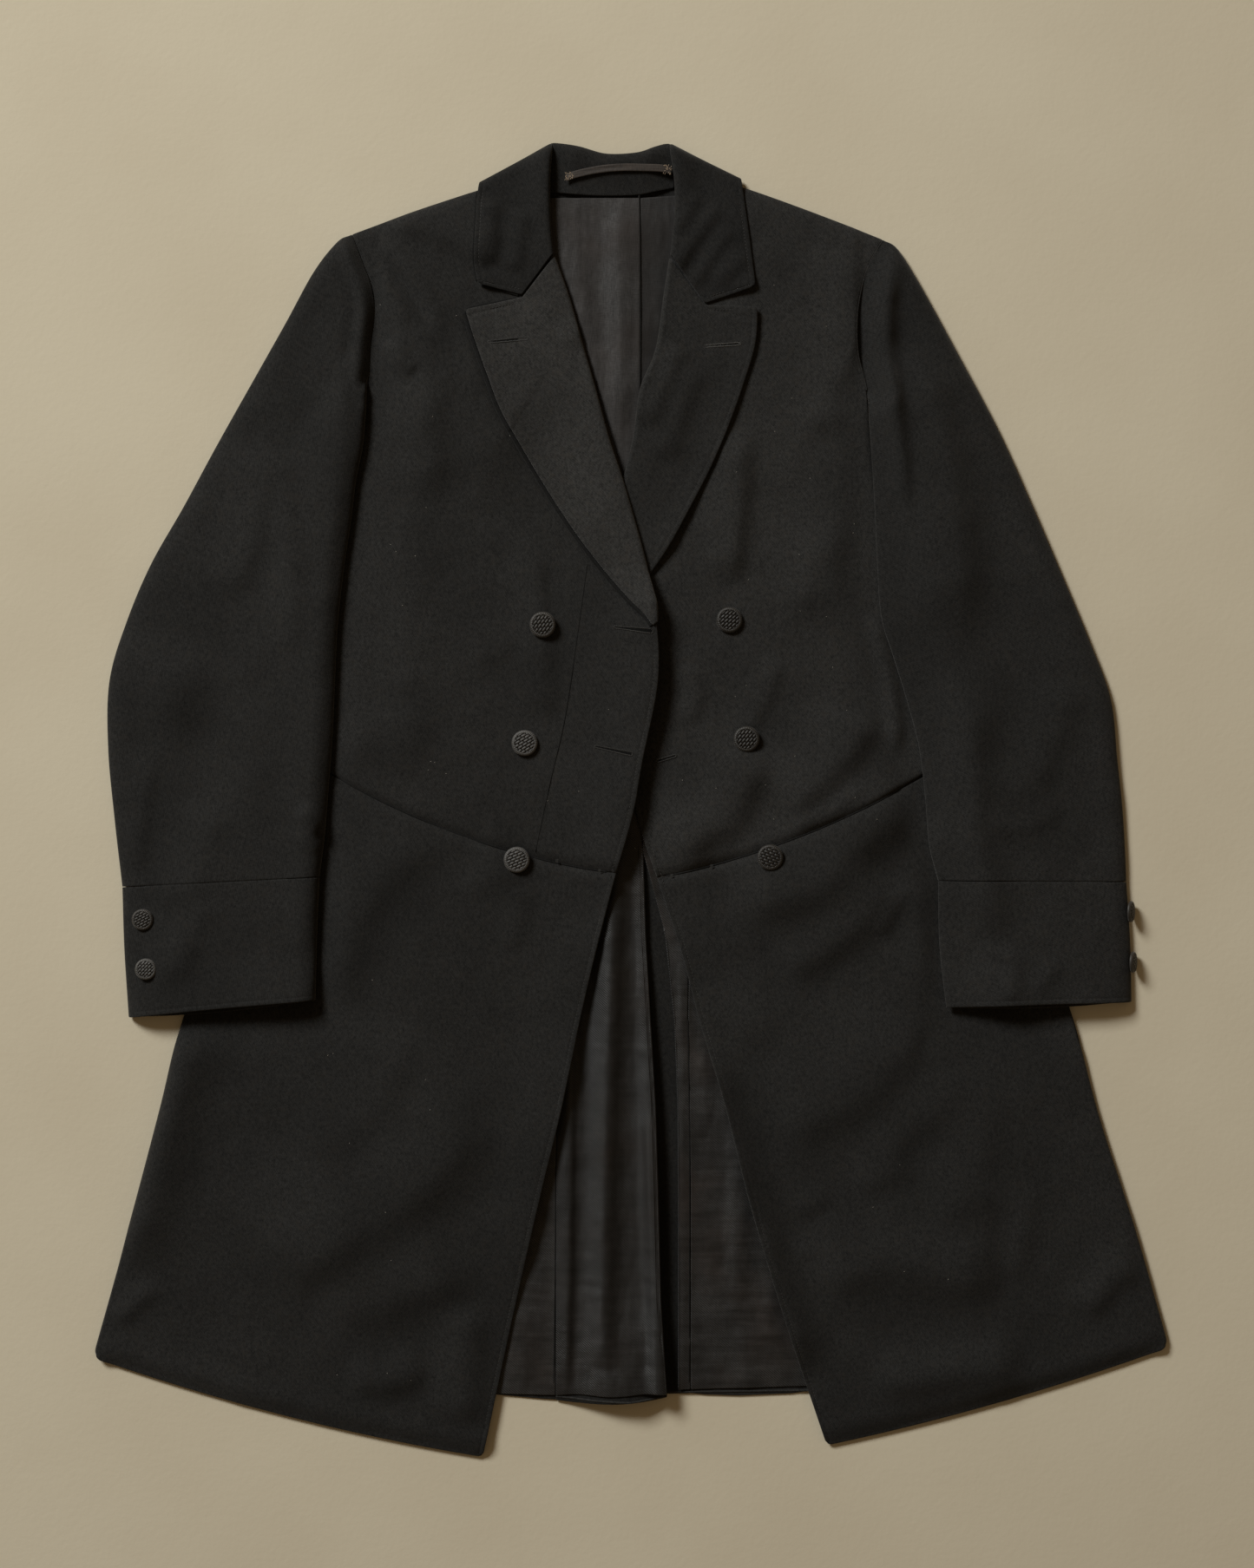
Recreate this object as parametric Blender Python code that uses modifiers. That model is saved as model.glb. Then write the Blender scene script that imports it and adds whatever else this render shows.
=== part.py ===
"""Double-breasted wool frock coat, laid flat on its back.

The frame: +X to the viewer's right, +Y towards the collar, +Z up from the surface that the coat
lies on, with the origin under the middle of the coat. Left and right are the viewer's. Every
table below is in millimetres, a row for each section, edge point or fold.

The layers, from the surface upwards: collar fall, backs and side bodies, linings, right forepart
and lapel, left forepart and lapel, collar leaves. The skirts are folded at the side, so each has a
layer above and a layer below. The sleeves lie on the foreparts and skirts, and come down to the
surface outside them.
"""

import math
from collections import namedtuple

import bmesh
import bpy

MM = 0.001

# Cloth and gaps
WOOL = 1.6
LINING = 1.0
SEAM = 0.3

# Heights of the undersides of the layers
LINING_LAYER = WOOL + SEAM
FRONT_LAYER = LINING_LAYER + LINING + SEAM
FRONT_TOP = FRONT_LAYER + WOOL
LAPEL_GAP = 0.7
LEAF_GAP = 0.6
COLLAR_FALL = WOOL + SEAM
OVERLAP = WOOL + SEAM
LAPEL_OVERLAP = OVERLAP + LAPEL_GAP + WOOL
SLEEVE_LAYER = FRONT_TOP + 0.8
VENT_LIFT = WOOL + SEAM

# Round edges
SHOULDER_ROLL = 8.0
SIDE_ROLL = 8.0
COLLAR_ROLL = 8.0
SLEEVE_ROLL = 14.0
SLEEVE_HOLLOW = 6.0
CUFF_HOLLOW = 5.6

# Rows of the tables: the sleeve's last head row, and the forepart's rows at the armhole's turn and underarm
HEAD = 3.0
CORNER = 3.0
UNDERARM = 5.0

# Buttons
FRONT_BUTTON_RADIUS = 10.0
CUFF_BUTTON_RADIUS = 8.2

# A row is a line across a panel from end a to end b; m, where given, is its point at the knee or middle.
Row = namedtuple("Row", "xa ya xb yb bow xm ym", defaults=(0.0, None, None))
# A row of a skirt runs from the front edge f round the side fold s to the back seam b.
SkirtRow = namedtuple("SkirtRow", "xf yf xs ys xb yb bow")
Point = namedtuple("Point", "x y")
Fold = namedtuple("Fold", "xa ya xb yb width height")

FOREPART_LEFT = [  # from the shoulder to the waist seam; a is the armhole and side, b the roll and front edge
    Row(-215.5, 437, -64, 487, 2),
    Row(-207, 415, -62, 448),
    Row(-200, 396, -59, 421),
    Row(-198, 376, -50, 395),
    Row(-201, 350, -39, 358),
    Row(-203, 323, -29, 322),
    Row(-213, 285, -18, 285),
    Row(-224, 243, -5, 243),
    Row(-235, 195, 10, 190),
    Row(-243, 150, 19.5, 140),
    Row(-250, 110, 21, 91, -3),
    Row(-256, 76, 9, 29, -8),
    Row(-259, 56, 2, -10, -12),
    Row(-262, 38, -11, -56, -16),
]
FOREPART_RIGHT = [
    Row(194.5, 433, 38, 489, 2),
    Row(183, 412, 34, 448),
    Row(177, 392, 30, 421),
    Row(174, 370, 26, 392),
    Row(175, 345, 19, 346),
    Row(182, 316, 7, 316),
    Row(185, 280, 2, 281),
    Row(190, 243, -7, 250),
    Row(205, 193, -16, 197),
    Row(220, 148, -14, 145),
    Row(236, 105, -9, 90, -3),
    Row(247, 70, -2, 30, -7),
    Row(251, 52, 5, -15, -10),
    Row(255, 36, 20, -60, -13),
]
LAPEL_LEFT = [  # from the gorge to the lower tip; a is the outer edge, b the roll
    Row(-128, 379, -59, 420.5, 0, -83.7, 388),
    Row(-120, 354, -47, 387),
    Row(-110, 326, -38, 355),
    Row(-100, 300, -27, 317),
    Row(-84, 272, -17, 280),
    Row(-66, 242, -6, 247),
    Row(-46, 211, 3, 216),
    Row(-26, 184, 11, 187),
    Row(-4, 158, 17, 160),
    Row(14, 143, 19, 146),
]
LAPEL_RIGHT = [
    Row(98, 382, 30, 419.5, 0, 56.3, 381.5),
    Row(96, 352, 25, 388),
    Row(87, 321, 19, 348),
    Row(76, 290, 7, 317),
    Row(62, 257, 2, 282),
    Row(45, 224, -5, 252),
    Row(29, 195, -13, 222),
    Row(12, 171, -16, 190),
    Row(-8, 150, -15, 158),
]
LEAF_LEFT = [  # from the shoulder edge to the gorge; a is the outer edge, b the roll
    Row(-117, 477, -60, 508),
    Row(-119, 461, -62, 481),
    Row(-120, 440, -62, 455),
    Row(-121, 416, -61, 436, -4),
    Row(-118, 398, -59.6, 421.8, 0, -84.4, 389.4),
]
LEAF_RIGHT = [
    Row(85, 480, 29, 507.5),
    Row(88, 458, 33, 482),
    Row(91, 437, 34, 455),
    Row(94, 414, 32, 434, -4),
    Row(96, 396, 30.6, 420.8, 0, 57.4, 382.8),
]
COLLAR_STAND = [  # from left to right; a is the neck seam, b the fold at the top
    Row(-59.4, 469.5, -59.4, 508),
    Row(-40, 467.5, -40, 505),
    Row(-19, 466.6, -19, 499.5),
    Row(5, 467.3, 5, 500.5),
    Row(19, 470, 19, 505),
    Row(29.5, 472.3, 28.4, 507.5),
]
COLLAR_FALL_UNDER = [  # from left to right, beneath the back; a is the free edge, b the fold
    Row(-104, 452, -104, 470),
    Row(-80, 449, -80, 487),
    Row(-59, 448, -59, 500),
    Row(-19, 447, -19, 492),
    Row(28, 448, 28, 499),
    Row(55, 449, 55, 485),
    Row(74, 452, 74, 472),
]
HANGER_LOOP = [  # from left to right, along the middle of the strip
    Point(-50, 479.5),
    Point(-44, 482),
    Point(-28, 485.5),
    Point(-10, 487.5),
    Point(10, 487.5),
    Point(24, 487),
    Point(31, 485),
]
HANGER_WIDTH = 5.8
HANGER_THICK = 1.2

BACK_LEFT = [  # from the shoulder to the hem; a is the armhole and side seam, b the centre seam and vent
    Row(-204, 428, 7, 465.5, 12),
    Row(-195, 405, 7, 435, 6),
    Row(-191, 375, 7, 390, 2),
    Row(-192, 345, 7, 345),
    Row(-178, 322, 7, 322),
    Row(-125, 240, 7, 240),
    Row(-82, 140, 7.5, 140),
    Row(-54, 40, 8, 40),
    Row(-40, -40, 9, -40),
    Row(-46, -105, 11, -105),
    Row(-51, -170, 15, -170),
    Row(-57, -235, 19, -235),
    Row(-58, -300, 21, -300),
    Row(-58, -385, 23, -385),
    Row(-58, -464, 28, -461, -3),
]
BACK_RIGHT = [
    Row(184, 425, 7.3, 465.5, 12),
    Row(174, 403, 7.3, 435, 6),
    Row(169, 375, 7.3, 390, 2),
    Row(169, 345, 7.3, 345),
    Row(172, 322, 7.3, 322),
    Row(140, 240, 7.3, 240),
    Row(96, 140, 7.8, 140),
    Row(66, 40, 8.3, 40),
    Row(48, -40, 9.3, -40),
    Row(45, -105, 11.3, -105),
    Row(44, -170, 15.4, -170),
    Row(45, -235, 10, -235),
    Row(46, -300, 12, -300),
    Row(46, -385, 14, -385),
    Row(46, -459, 18, -459.5),
]
SIDE_BODY_LEFT = [  # from the armhole to the waist seam; a is the side, b the back seam
    Row(-199, 315, -178.3, 321.7),
    Row(-218, 240, -125.3, 240),
    Row(-236, 140, -82.3, 140),
    Row(-250, 65, -54.3, 40),
    Row(-256, 36, -40.3, -40),
]
SIDE_BODY_RIGHT = [
    Row(177, 308, 172.3, 321.7),
    Row(184, 240, 140.3, 240),
    Row(216, 140, 96.3, 140),
    Row(242, 62, 66.3, 40),
    Row(249, 34, 48.3, -40),
]
SKIRT_LEFT = [  # from the waist seam to the hem
    SkirtRow(-11, -56.5, -262, 37.5, -40.5, -40.5, -16),
    SkirtRow(-27, -119, -290, -33, -46.3, -105, -15),
    SkirtRow(-40, -175, -318, -100, -51.3, -170, -14),
    SkirtRow(-53, -238, -346, -168, -57.3, -235, -13),
    SkirtRow(-70, -308, -364, -240, -58.3, -300, -12),
    SkirtRow(-92, -405, -390, -338, -58.3, -385, -10),
    SkirtRow(-114, -508, -416, -431, -58.3, -464, -7),
]
SKIRT_RIGHT = [
    SkirtRow(20, -60.5, 255, 35.5, 48.5, -40.5, -13),
    SkirtRow(38, -115, 285, -30, 45.3, -105, -12),
    SkirtRow(53, -172, 312, -95, 44.3, -170, -12),
    SkirtRow(72, -235, 340, -163, 45.3, -235, -11),
    SkirtRow(91, -310, 362, -244, 46.3, -300, -10),
    SkirtRow(118, -400, 390, -332, 46.3, -385, -8),
    SkirtRow(151, -499, 416, -423, 46.3, -459, -5),
]
LINING_BACK_LEFT = [  # where it shows in the neck, and a margin under the foreparts
    Row(-62, 465, 7, 465),
    Row(-84, 400, 7, 400),
    Row(-66, 330, 7, 330),
    Row(-48, 270, 7, 270),
    Row(-34, 215, 7, 215),
]
LINING_BACK_RIGHT = [
    Row(36, 467, 7.3, 465),
    Row(60, 400, 7.3, 400),
    Row(52, 330, 7.3, 330),
    Row(42, 270, 7.3, 270),
    Row(32, 215, 7.3, 215),
]
LINING_SKIRT_LEFT = [  # where it shows in the lower opening, and a margin under the skirts
    Row(-74, -150, -49.6, -150),
    Row(-84, -235, -57.3, -235),
    Row(-100, -300, -58.3, -300),
    Row(-124, -385, -58.3, -385),
    Row(-142, -458, -58.3, -460),
]
LINING_TAIL_LEFT = [
    Row(-26, 20, 8, 20),
    Row(-40, -40, 9, -40),
    Row(-46, -105, 11, -105),
    Row(-51, -170, 14.7, -170),
    Row(-57, -235, 18.5, -235),
    Row(-58, -300, 20.5, -300),
    Row(-58, -385, 22.5, -385),
    Row(-58, -460, 27, -457.5),
]
LINING_TAIL_RIGHT = [
    Row(28, 20, 8.3, 20),
    Row(47, -40, 9.3, -40),
    Row(44.7, -105, 27, -105),
    Row(43.7, -170, 34, -170),
    Row(44.7, -235, 36.5, -235),
    Row(45.7, -300, 37, -300),
    Row(45.7, -385, 37, -385),
    Row(45.7, -455.5, 37, -455.5),
]
LINING_SKIRT_RIGHT = [
    Row(70, -105, 45.3, -105),
    Row(84, -170, 44.3, -170),
    Row(106, -235, 45.3, -235),
    Row(128, -300, 46.3, -300),
    Row(152, -385, 46.3, -385),
    Row(172, -452, 46.3, -455.5),
]
SLEEVE_LEFT = [  # from the armhole to the cuff seam; a is the outer edge, b the inner edge
    Row(-216, 437, -198.8, 376),
    Row(-227, 431, -203.8, 323),
    Row(-245, 408, -205, 296),
    Row(-267, 368, -207, 272),
    Row(-293, 322, -212, 246),
    Row(-320, 274, -216, 214),
    Row(-346, 226, -221, 180),
    Row(-371, 182, -226, 135),
    Row(-390, 137, -228, 95),
    Row(-403, 92, -230, 50),
    Row(-404, 40, -233, 10),
    Row(-399, -15, -236, -27),
    Row(-393, -67, -240, -59),
]
SLEEVE_RIGHT = [
    Row(195, 433, 174.8, 370),
    Row(206, 426, 182.8, 316),
    Row(223, 399, 184.2, 290),
    Row(251, 348, 186, 264),
    Row(284, 286, 188, 228),
    Row(311, 226, 190, 184),
    Row(335, 170, 193, 142),
    Row(355, 122, 202, 112),
    Row(371, 78, 212, 80),
    Row(376, 32, 222, 42),
    Row(380, -6, 227, 2),
    Row(382, -38, 230, -34),
    Row(383, -63, 237, -62),
]
CUFF_LEFT = [
    Row(-393, -67.4, -240, -59.4),
    Row(-391.5, -115, -242, -106),
    Row(-388, -168, -243, -154),
]
CUFF_RIGHT = [
    Row(383, -63.4, 237, -62.4),
    Row(386, -110, 238, -111),
    Row(387, -156, 243, -160),
]
SIDE_LEFT = [  # the side edge of the coat's body, which the sleeve hides, from the underarm down
    Point(-203, 323),
    Point(-224, 243),
    Point(-243, 150),
    Point(-262, 38),
    Point(-290, -33),
    Point(-346, -168),
    Point(-364, -240),
]
SIDE_RIGHT = [
    Point(182, 316),
    Point(190, 243),
    Point(220, 148),
    Point(255, 36),
    Point(285, -30),
    Point(340, -163),
    Point(362, -244),
]
HIDDEN_EDGE_RIGHT = [  # the right forepart's edge, under the left one
    Point(26, 392),
    Point(7, 316),
    Point(-7, 250),
    Point(-16, 197),
    Point(-14, 145),
    Point(-9, 90),
    Point(-2, 30),
    Point(5, -15),
    Point(20, -60),
    Point(38, -115),
    Point(90, -310),
]
FOLDS = [  # soft ridges of the foreparts and skirts
    Fold(-186, 402, -160, 318, 15, 2.6),
    Fold(-150, 250, -120, 130, 26, 1.6),
    Fold(-60, 110, -66, 20, 20, 1.6),
    Fold(104, -10, 140, 110, 20, 2.4),
    Fold(150, 10, 195, 60, 18, 2.2),
    Fold(70, -112, 200, -25, 20, 3.0),
    Fold(120, -170, 205, -95, 20, 2.4),
    Fold(150, -262, 245, -195, 22, 2.8),
    Fold(170, -352, 245, -340, 20, 1.8),
    Fold(-262, -350, -100, -238, 22, 2.8),
    Fold(-300, -420, -225, -385, 22, 1.8),
    Fold(-330, -225, -378, -390, 20, 2.0),
    Fold(330, -235, 372, -390, 20, 2.0),
]
FRONT_BUTTONS = [Point(-68, 135), Point(-82, 44), Point(-88, -46), Point(76, 139), Point(89, 47), Point(107, -44)]
CUFF_BUTTONS_LEFT = [Point(-376, -92), Point(-373, -130)]
CUFF_BUTTONS_RIGHT = [Point(386.3, -86), Point(388, -125)]


def clamp(t):
    return min(max(t, 0.0), 1.0)


def ease(t):
    t = clamp(t)
    return t * t * (3 - 2 * t)


def rounded(distance, radius):
    """The height of a quarter round, from 0 at its edge to 1 at its radius."""
    t = clamp(distance / radius)
    return math.sqrt(1 - (1 - t) ** 2)


def through(values, t):
    """A smooth curve through one column of a table, one value to a row."""
    last = len(values) - 1
    i = min(int(t), last - 1)
    f = t - i
    p1, p2 = values[i], values[i + 1]
    p0 = values[i - 1] if i > 0 else 2 * p1 - p2
    p3 = values[i + 2] if i + 2 <= last else 2 * p2 - p1
    return p1 + 0.5 * f * (p2 - p0 + f * (2 * p0 - 5 * p1 + 4 * p2 - p3 + f * (3 * (p1 - p2) + p3 - p0)))


def straight(values, t):
    i = min(int(t), len(values) - 2)
    return values[i] + (values[i + 1] - values[i]) * (t - i)


def column(rows, field):
    return [getattr(row, field) for row in rows]


def x_at(edge, y):
    """The x of an edge table at a height y, for a table that runs from high y to low y."""
    for above, below in zip(edge, edge[1:]):
        if y >= below.y:
            share = (above.y - y) / (above.y - below.y)
            return above.x + (below.x - above.x) * max(share, 0.0)
    return edge[-1].x


def panel_place(rows, knee=None, curve=through):
    """A function from (u, t) to (x, y): u from end a to end b of a row, t along the rows."""
    columns = {field: column(rows, field) for field in ("xa", "ya", "xb", "yb", "bow")}
    share = 0.5 if knee is None else knee
    middle_x = [row.xa + (row.xb - row.xa) * share if row.xm is None else row.xm for row in rows]
    middle_y = [row.ya + (row.yb - row.ya) * share if row.ym is None else row.ym for row in rows]

    def place(u, t):
        xa, ya, xb, yb, bow = (curve(columns[field], t) for field in ("xa", "ya", "xb", "yb", "bow"))
        xm, ym = curve(middle_x, t), curve(middle_y, t)
        if knee is not None:
            if u <= knee:
                f = u / knee
                x, y = xa + (xm - xa) * f, ya + (ym - ya) * f
            else:
                f = (u - knee) / (1 - knee)
                x, y = xm + (xb - xm) * f, ym + (yb - ym) * f
        else:
            cx, cy = 2 * xm - (xa + xb) / 2, 2 * ym - (ya + yb) / 2
            x = (1 - u) ** 2 * xa + 2 * u * (1 - u) * cx + u * u * xb
            y = (1 - u) ** 2 * ya + 2 * u * (1 - u) * cy + u * u * yb
        return x, y + bow * 4 * u * (1 - u)

    return place


def away(place, u, t, u_edge=None, t_edge=None):
    """How far the point at (u, t) is from the same row's or column's point on an edge."""
    x, y = place(u, t)
    ex, ey = place(u if u_edge is None else u_edge, t if t_edge is None else t_edge)
    return math.hypot(x - ex, y - ey)


# Heights ------------------------------------------------------------------------------------------


def neck_rise(x, y):
    """The back of the neck lies on the collar's fall."""
    return COLLAR_FALL * ease((y - 356) / 86) * ease((x + 190) / 72) * ease((162 - x) / 72)


def fold_rise(x, y):
    total = 0.0
    for fold in FOLDS:
        dx, dy = fold.xb - fold.xa, fold.yb - fold.ya
        length = math.hypot(dx, dy)
        along = ((x - fold.xa) * dx + (y - fold.ya) * dy) / length
        aside = ((x - fold.xa) * dy - (y - fold.ya) * dx) / length
        ends = ease((along + 0.35 * length) / (0.6 * length)) * ease((1.35 * length - along) / (0.6 * length))
        total += fold.height * math.exp(-((aside / fold.width) ** 2)) * ends
    return total


def clear_of_sleeve(x, y):
    """1 where the foreparts and skirts are free, 0 where a sleeve lies on them."""
    inner_left = min(max(-203 - (322 - y) * 0.115, -243), -200)
    inner_right = max(min(184 + max(170 - y, 0) * 0.24, 243), 180)
    free = min(ease((x - inner_left - 4) / 24), ease((inner_right - 4 - x) / 24))
    return max(free, ease((-176 - y) / 26))


def overlap_rise(x, y):
    """The left forepart climbs over the right one, and over the right lapel above the buttons."""
    edge = x_at(HIDDEN_EDGE_RIGHT, y)
    climb = ease((x - edge + 66) / 56)
    lapel = ease((372 - y) / 108) * ease((y - 40) / 98)
    return climb * (OVERLAP + (LAPEL_OVERLAP - OVERLAP) * lapel) * ease((470 - y) / 120)


def front_left(x, y):
    """The underside of the left forepart and skirt."""
    free = clear_of_sleeve(x, y) * ease((470 - y) / 60)
    flat = 1 - ease((x - x_at(HIDDEN_EDGE_RIGHT, y) + 60) / 30) * ease((y + 60) / 60)
    return FRONT_LAYER + neck_rise(x, y) + overlap_rise(x, y) + fold_rise(x, y) * free * flat


def front_right(x, y):
    free = clear_of_sleeve(x, y) * ease((470 - y) / 60)
    flat = ease((x - x_at(HIDDEN_EDGE_RIGHT, y) - 44) / 30) if y > -60 else 1.0
    return FRONT_LAYER + neck_rise(x, y) + fold_rise(x, y) * free * flat


def vent_lift(x, y):
    """The left tail lies on the edge of the right one."""
    centre = x_at([Point(row.xb, row.yb) for row in BACK_LEFT], y)
    return VENT_LIFT * ease((x - centre + 44) / 30) * ease((-104 - y) / 52)


def sleeve_base(x, y):
    """What a sleeve lies on: the coat's body, then down to the surface outside it."""
    edge = SIDE_LEFT if x < 0 else SIDE_RIGHT
    underarm = edge[0].y
    outside = x_at(edge, min(y, underarm)) - x
    if x > 0:
        outside = -outside
    reach = min(max(7 + (underarm - y) * 0.2, 7), 24)
    if y > underarm:
        outside = math.hypot(max(outside, 0.0), y - underarm)
    return SLEEVE_LAYER * (1 - ease((outside - 11) / reach))


# Making -------------------------------------------------------------------------------------------


def material(name, colour, roughness, metallic=0.0):
    made = bpy.data.materials.new(name)
    made.use_nodes = True
    shader = made.node_tree.nodes["Principled BSDF"]
    shader.inputs["Base Color"].default_value = (*colour, 1.0)
    shader.inputs["Roughness"].default_value = roughness
    shader.inputs["Metallic"].default_value = metallic
    return made


def finish(name, bm, made_of, collection):
    bmesh.ops.recalc_face_normals(bm, faces=bm.faces[:])
    mesh = bpy.data.meshes.new(name)
    bm.to_mesh(mesh)
    bm.free()
    mesh.materials.append(made_of.copy())
    mesh.materials[0].name = name + "_" + made_of.name
    mesh.shade_smooth()
    mesh.set_sharp_from_angle(angle=math.radians(40))
    thing = bpy.data.objects.new(name, mesh)
    collection.objects.link(thing)
    return thing


def wall(name, us, ts, lower, upper, made_of, collection, closed=False):
    """A cloth wall: a grid with its points at lower(u, t), pulled up into a second face at upper(u, t)."""
    bm = bmesh.new()
    column_of = bm.verts.layers.int.new("column")
    row_of = bm.verts.layers.int.new("row")
    bmesh.ops.create_grid(bm, x_segments=len(us) - 1, y_segments=len(ts) - 1, size=0.5)
    for vert in bm.verts:
        vert[column_of] = round((vert.co.x + 0.5) * (len(us) - 1))
        vert[row_of] = round((vert.co.y + 0.5) * (len(ts) - 1))

    def put(verts, where):
        for vert in verts:
            x, y, z = where(us[vert[column_of]], ts[vert[row_of]])
            vert.co = (x * MM, y * MM, z * MM)

    put(bm.verts, lower)
    if closed:
        bmesh.ops.remove_doubles(bm, verts=bm.verts[:], dist=1e-6)
    pulled = bmesh.ops.extrude_face_region(bm, geom=bm.faces[:])
    put([item for item in pulled["geom"] if isinstance(item, bmesh.types.BMVert)], upper)
    return finish(name, bm, made_of, collection)


def sheet(name, rows, us, ts, under, thick, made_of, collection, knee=None, curve=through):
    """A panel whose underside is at under(x, y, u, t)."""
    place = panel_place(rows, knee, curve)

    def lower(u, t):
        x, y = place(u, t)
        return x, y, under(x, y, u, t)

    def upper(u, t):
        x, y, z = lower(u, t)
        return x, y, z + thick

    return wall(name, us, ts, lower, upper, made_of, collection)


def stations(rows, per=1, first=()):
    """Stations along the rows, with some closer ones after the first row."""
    last = len(rows) - 1
    found = [0.0, *first] + [i / per for i in range(1, last * per + 1)]
    return sorted(set(found))


def sleeve_place(rows, forepart_rows):
    """A sleeve's panel. Its head is filled in between the armhole's upper part, which is its first
    row, the armhole's lower part and the inner edge, the outer edge, and the row at HEAD."""
    free = panel_place(rows)
    armhole = panel_place(forepart_rows)
    gap = (-1 if rows[0].xa < 0 else 1) * 2.6 * SEAM

    def seam(t):
        x, y = armhole(0.0, t)
        return x + gap, y

    def outer(t):
        x, y = free(0.0, t)
        share = max(1 - t, 0.0)
        return x + (seam(0.0)[0] - rows[0].xa) * share, y + (seam(0.0)[1] - rows[0].ya) * share

    def inner(t):
        return seam(CORNER + (UNDERARM - CORNER) * t) if t < 1 else free(1.0, t)

    corners = seam(0.0), seam(CORNER), free(0.0, HEAD), free(1.0, HEAD)

    def place(u, t):
        if t >= HEAD:
            return free(u, t)
        s = t / HEAD
        first, last, left, right = seam(CORNER * u), free(u, HEAD), outer(t), inner(t)
        return tuple(
            first[i] * (1 - s)
            + last[i] * s
            + (1 - u) * (left[i] - corners[0][i] * (1 - s) - corners[2][i] * s)
            + u * (right[i] - corners[1][i] * (1 - s) - corners[3][i] * s)
            for i in (0, 1)
        )

    return place


def forepart(name, rows, base, made_of, collection):
    place = panel_place(rows)

    def under(x, y, u, t):
        shoulder = rounded(away(place, u, t, t_edge=0.0), SHOULDER_ROLL)
        side = rounded(away(place, u, t, u_edge=0.0), SIDE_ROLL)
        side = 1 - (1 - side) * ease((t - 5.0) / 0.8)
        rise = neck_rise(x, y)
        return rise + (base(x, y) - rise) * min(shoulder, side)

    us = [0.0, 0.008, 0.022, 0.045, 0.12, 0.24, 0.36, 0.48, 0.6, 0.7, 0.79, 0.87, 0.94, 1.0]
    ts = stations(rows, 1, first=(0.06, 0.18, 0.4)) + [4.5, 5.5, 6.5, 7.5, 8.5, 9.5]
    return sheet(name, rows, us, sorted(ts), under, WOOL, made_of, collection)


def skirt(name, rows, base, made_of, collection):
    """One piece of cloth folded at the side: the front layer, the fold, and the back layer under it."""
    radius = FRONT_TOP / 2
    front = panel_place([Row(row.xs, row.ys, row.xf, row.yf, row.bow) for row in rows])
    columns = {field: column(rows, field) for field in ("xs", "ys", "xb", "yb")}

    def back(u, t):
        xs, ys = through(columns["xs"], t), through(columns["ys"], t)
        xb, yb = straight(columns["xb"], t), straight(columns["yb"], t)
        return xs + (xb - xs) * u, ys + (yb - ys) * u

    # Stations round the section: (part, share). The fold's angle runs from straight up to straight down.
    above = [("front", u) for u in (1.0, 0.93, 0.84, 0.74, 0.63, 0.52, 0.41, 0.3, 0.2, 0.11, 0.045)]
    turn = [("turn", angle) for angle in (0.0, 36.0, 72.0, 108.0, 144.0, 180.0)]
    below = [("back", u) for u in (0.045, 0.3, 0.65, 1.0)]
    around = above + turn + below

    def section(outer):
        reach = radius if outer else radius - WOOL

        def where(station, t):
            part, share = station
            if part == "front":
                x, y = front(share, t)
                settle = rounded(away(front, share, t, u_edge=0.0), 14.0)
                top = FRONT_LAYER + (base(x, y) - FRONT_LAYER) * settle
                return x, y, top + (WOOL if outer else 0.0)
            if part == "turn":
                angle = math.radians(share)
                inset = radius - reach * math.sin(angle)
                x, y = front(inset / away(front, 0.0, t, u_edge=1.0), t)
                return x, y, radius + reach * math.cos(angle)
            x, y = back(share, t)
            return x, y, 0.0 if outer else WOOL

        return where

    ts = stations(rows, 2)
    return wall(name, around, ts, section(False), section(True), made_of, collection)


def sleeve_hollow(t, rows):
    """The free height inside a sleeve: little at the armhole, where it meets the forepart."""
    return 1.6 + (SLEEVE_HOLLOW - 1.6) * ease(t / 4.0)


SLEEVE_US = [0.0, 0.016, 0.05, 0.11, 0.21, 0.33, 0.45, 0.57, 0.69, 0.8, 0.89, 0.95, 0.984, 1.0]


def top_sleeve(name, rows, forepart_rows, made_of, collection):
    place = sleeve_place(rows, forepart_rows)

    def under(x, y, u, t):
        edge = min(away(place, u, t, u_edge=0.0), away(place, u, t, u_edge=1.0))
        return sleeve_base(x, y) + (WOOL + sleeve_hollow(t, rows)) * rounded(edge, SLEEVE_ROLL)

    def lower(u, t):
        x, y = place(u, t)
        return x, y, under(x, y, u, t)

    def upper(u, t):
        x, y, z = lower(u, t)
        return x, y, z + WOOL

    return wall(name, SLEEVE_US, stations(rows, 1, first=(0.5, 1.5, 2.5)), lower, upper, made_of, collection)


def under_sleeve(name, rows, forepart_rows, made_of, collection):
    place = sleeve_place(rows, forepart_rows)

    def lower(u, t):
        inset = (3.0 + 3.0 * ease((HEAD - t) / 2)) / away(place, 0.0, t, u_edge=1.0)
        x, y = place(min(max(u, inset), 1 - inset), t)
        return x, y, sleeve_base(x, y)

    def upper(u, t):
        x, y, z = lower(u, t)
        return x, y, z + WOOL

    us = SLEEVE_US[:1] + SLEEVE_US[2:-2] + SLEEVE_US[-1:]
    ts = [t for t in stations(rows, 1, first=(1.5, 2.5)) if t > 1]
    return wall(name, us, ts, lower, upper, made_of, collection)


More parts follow.
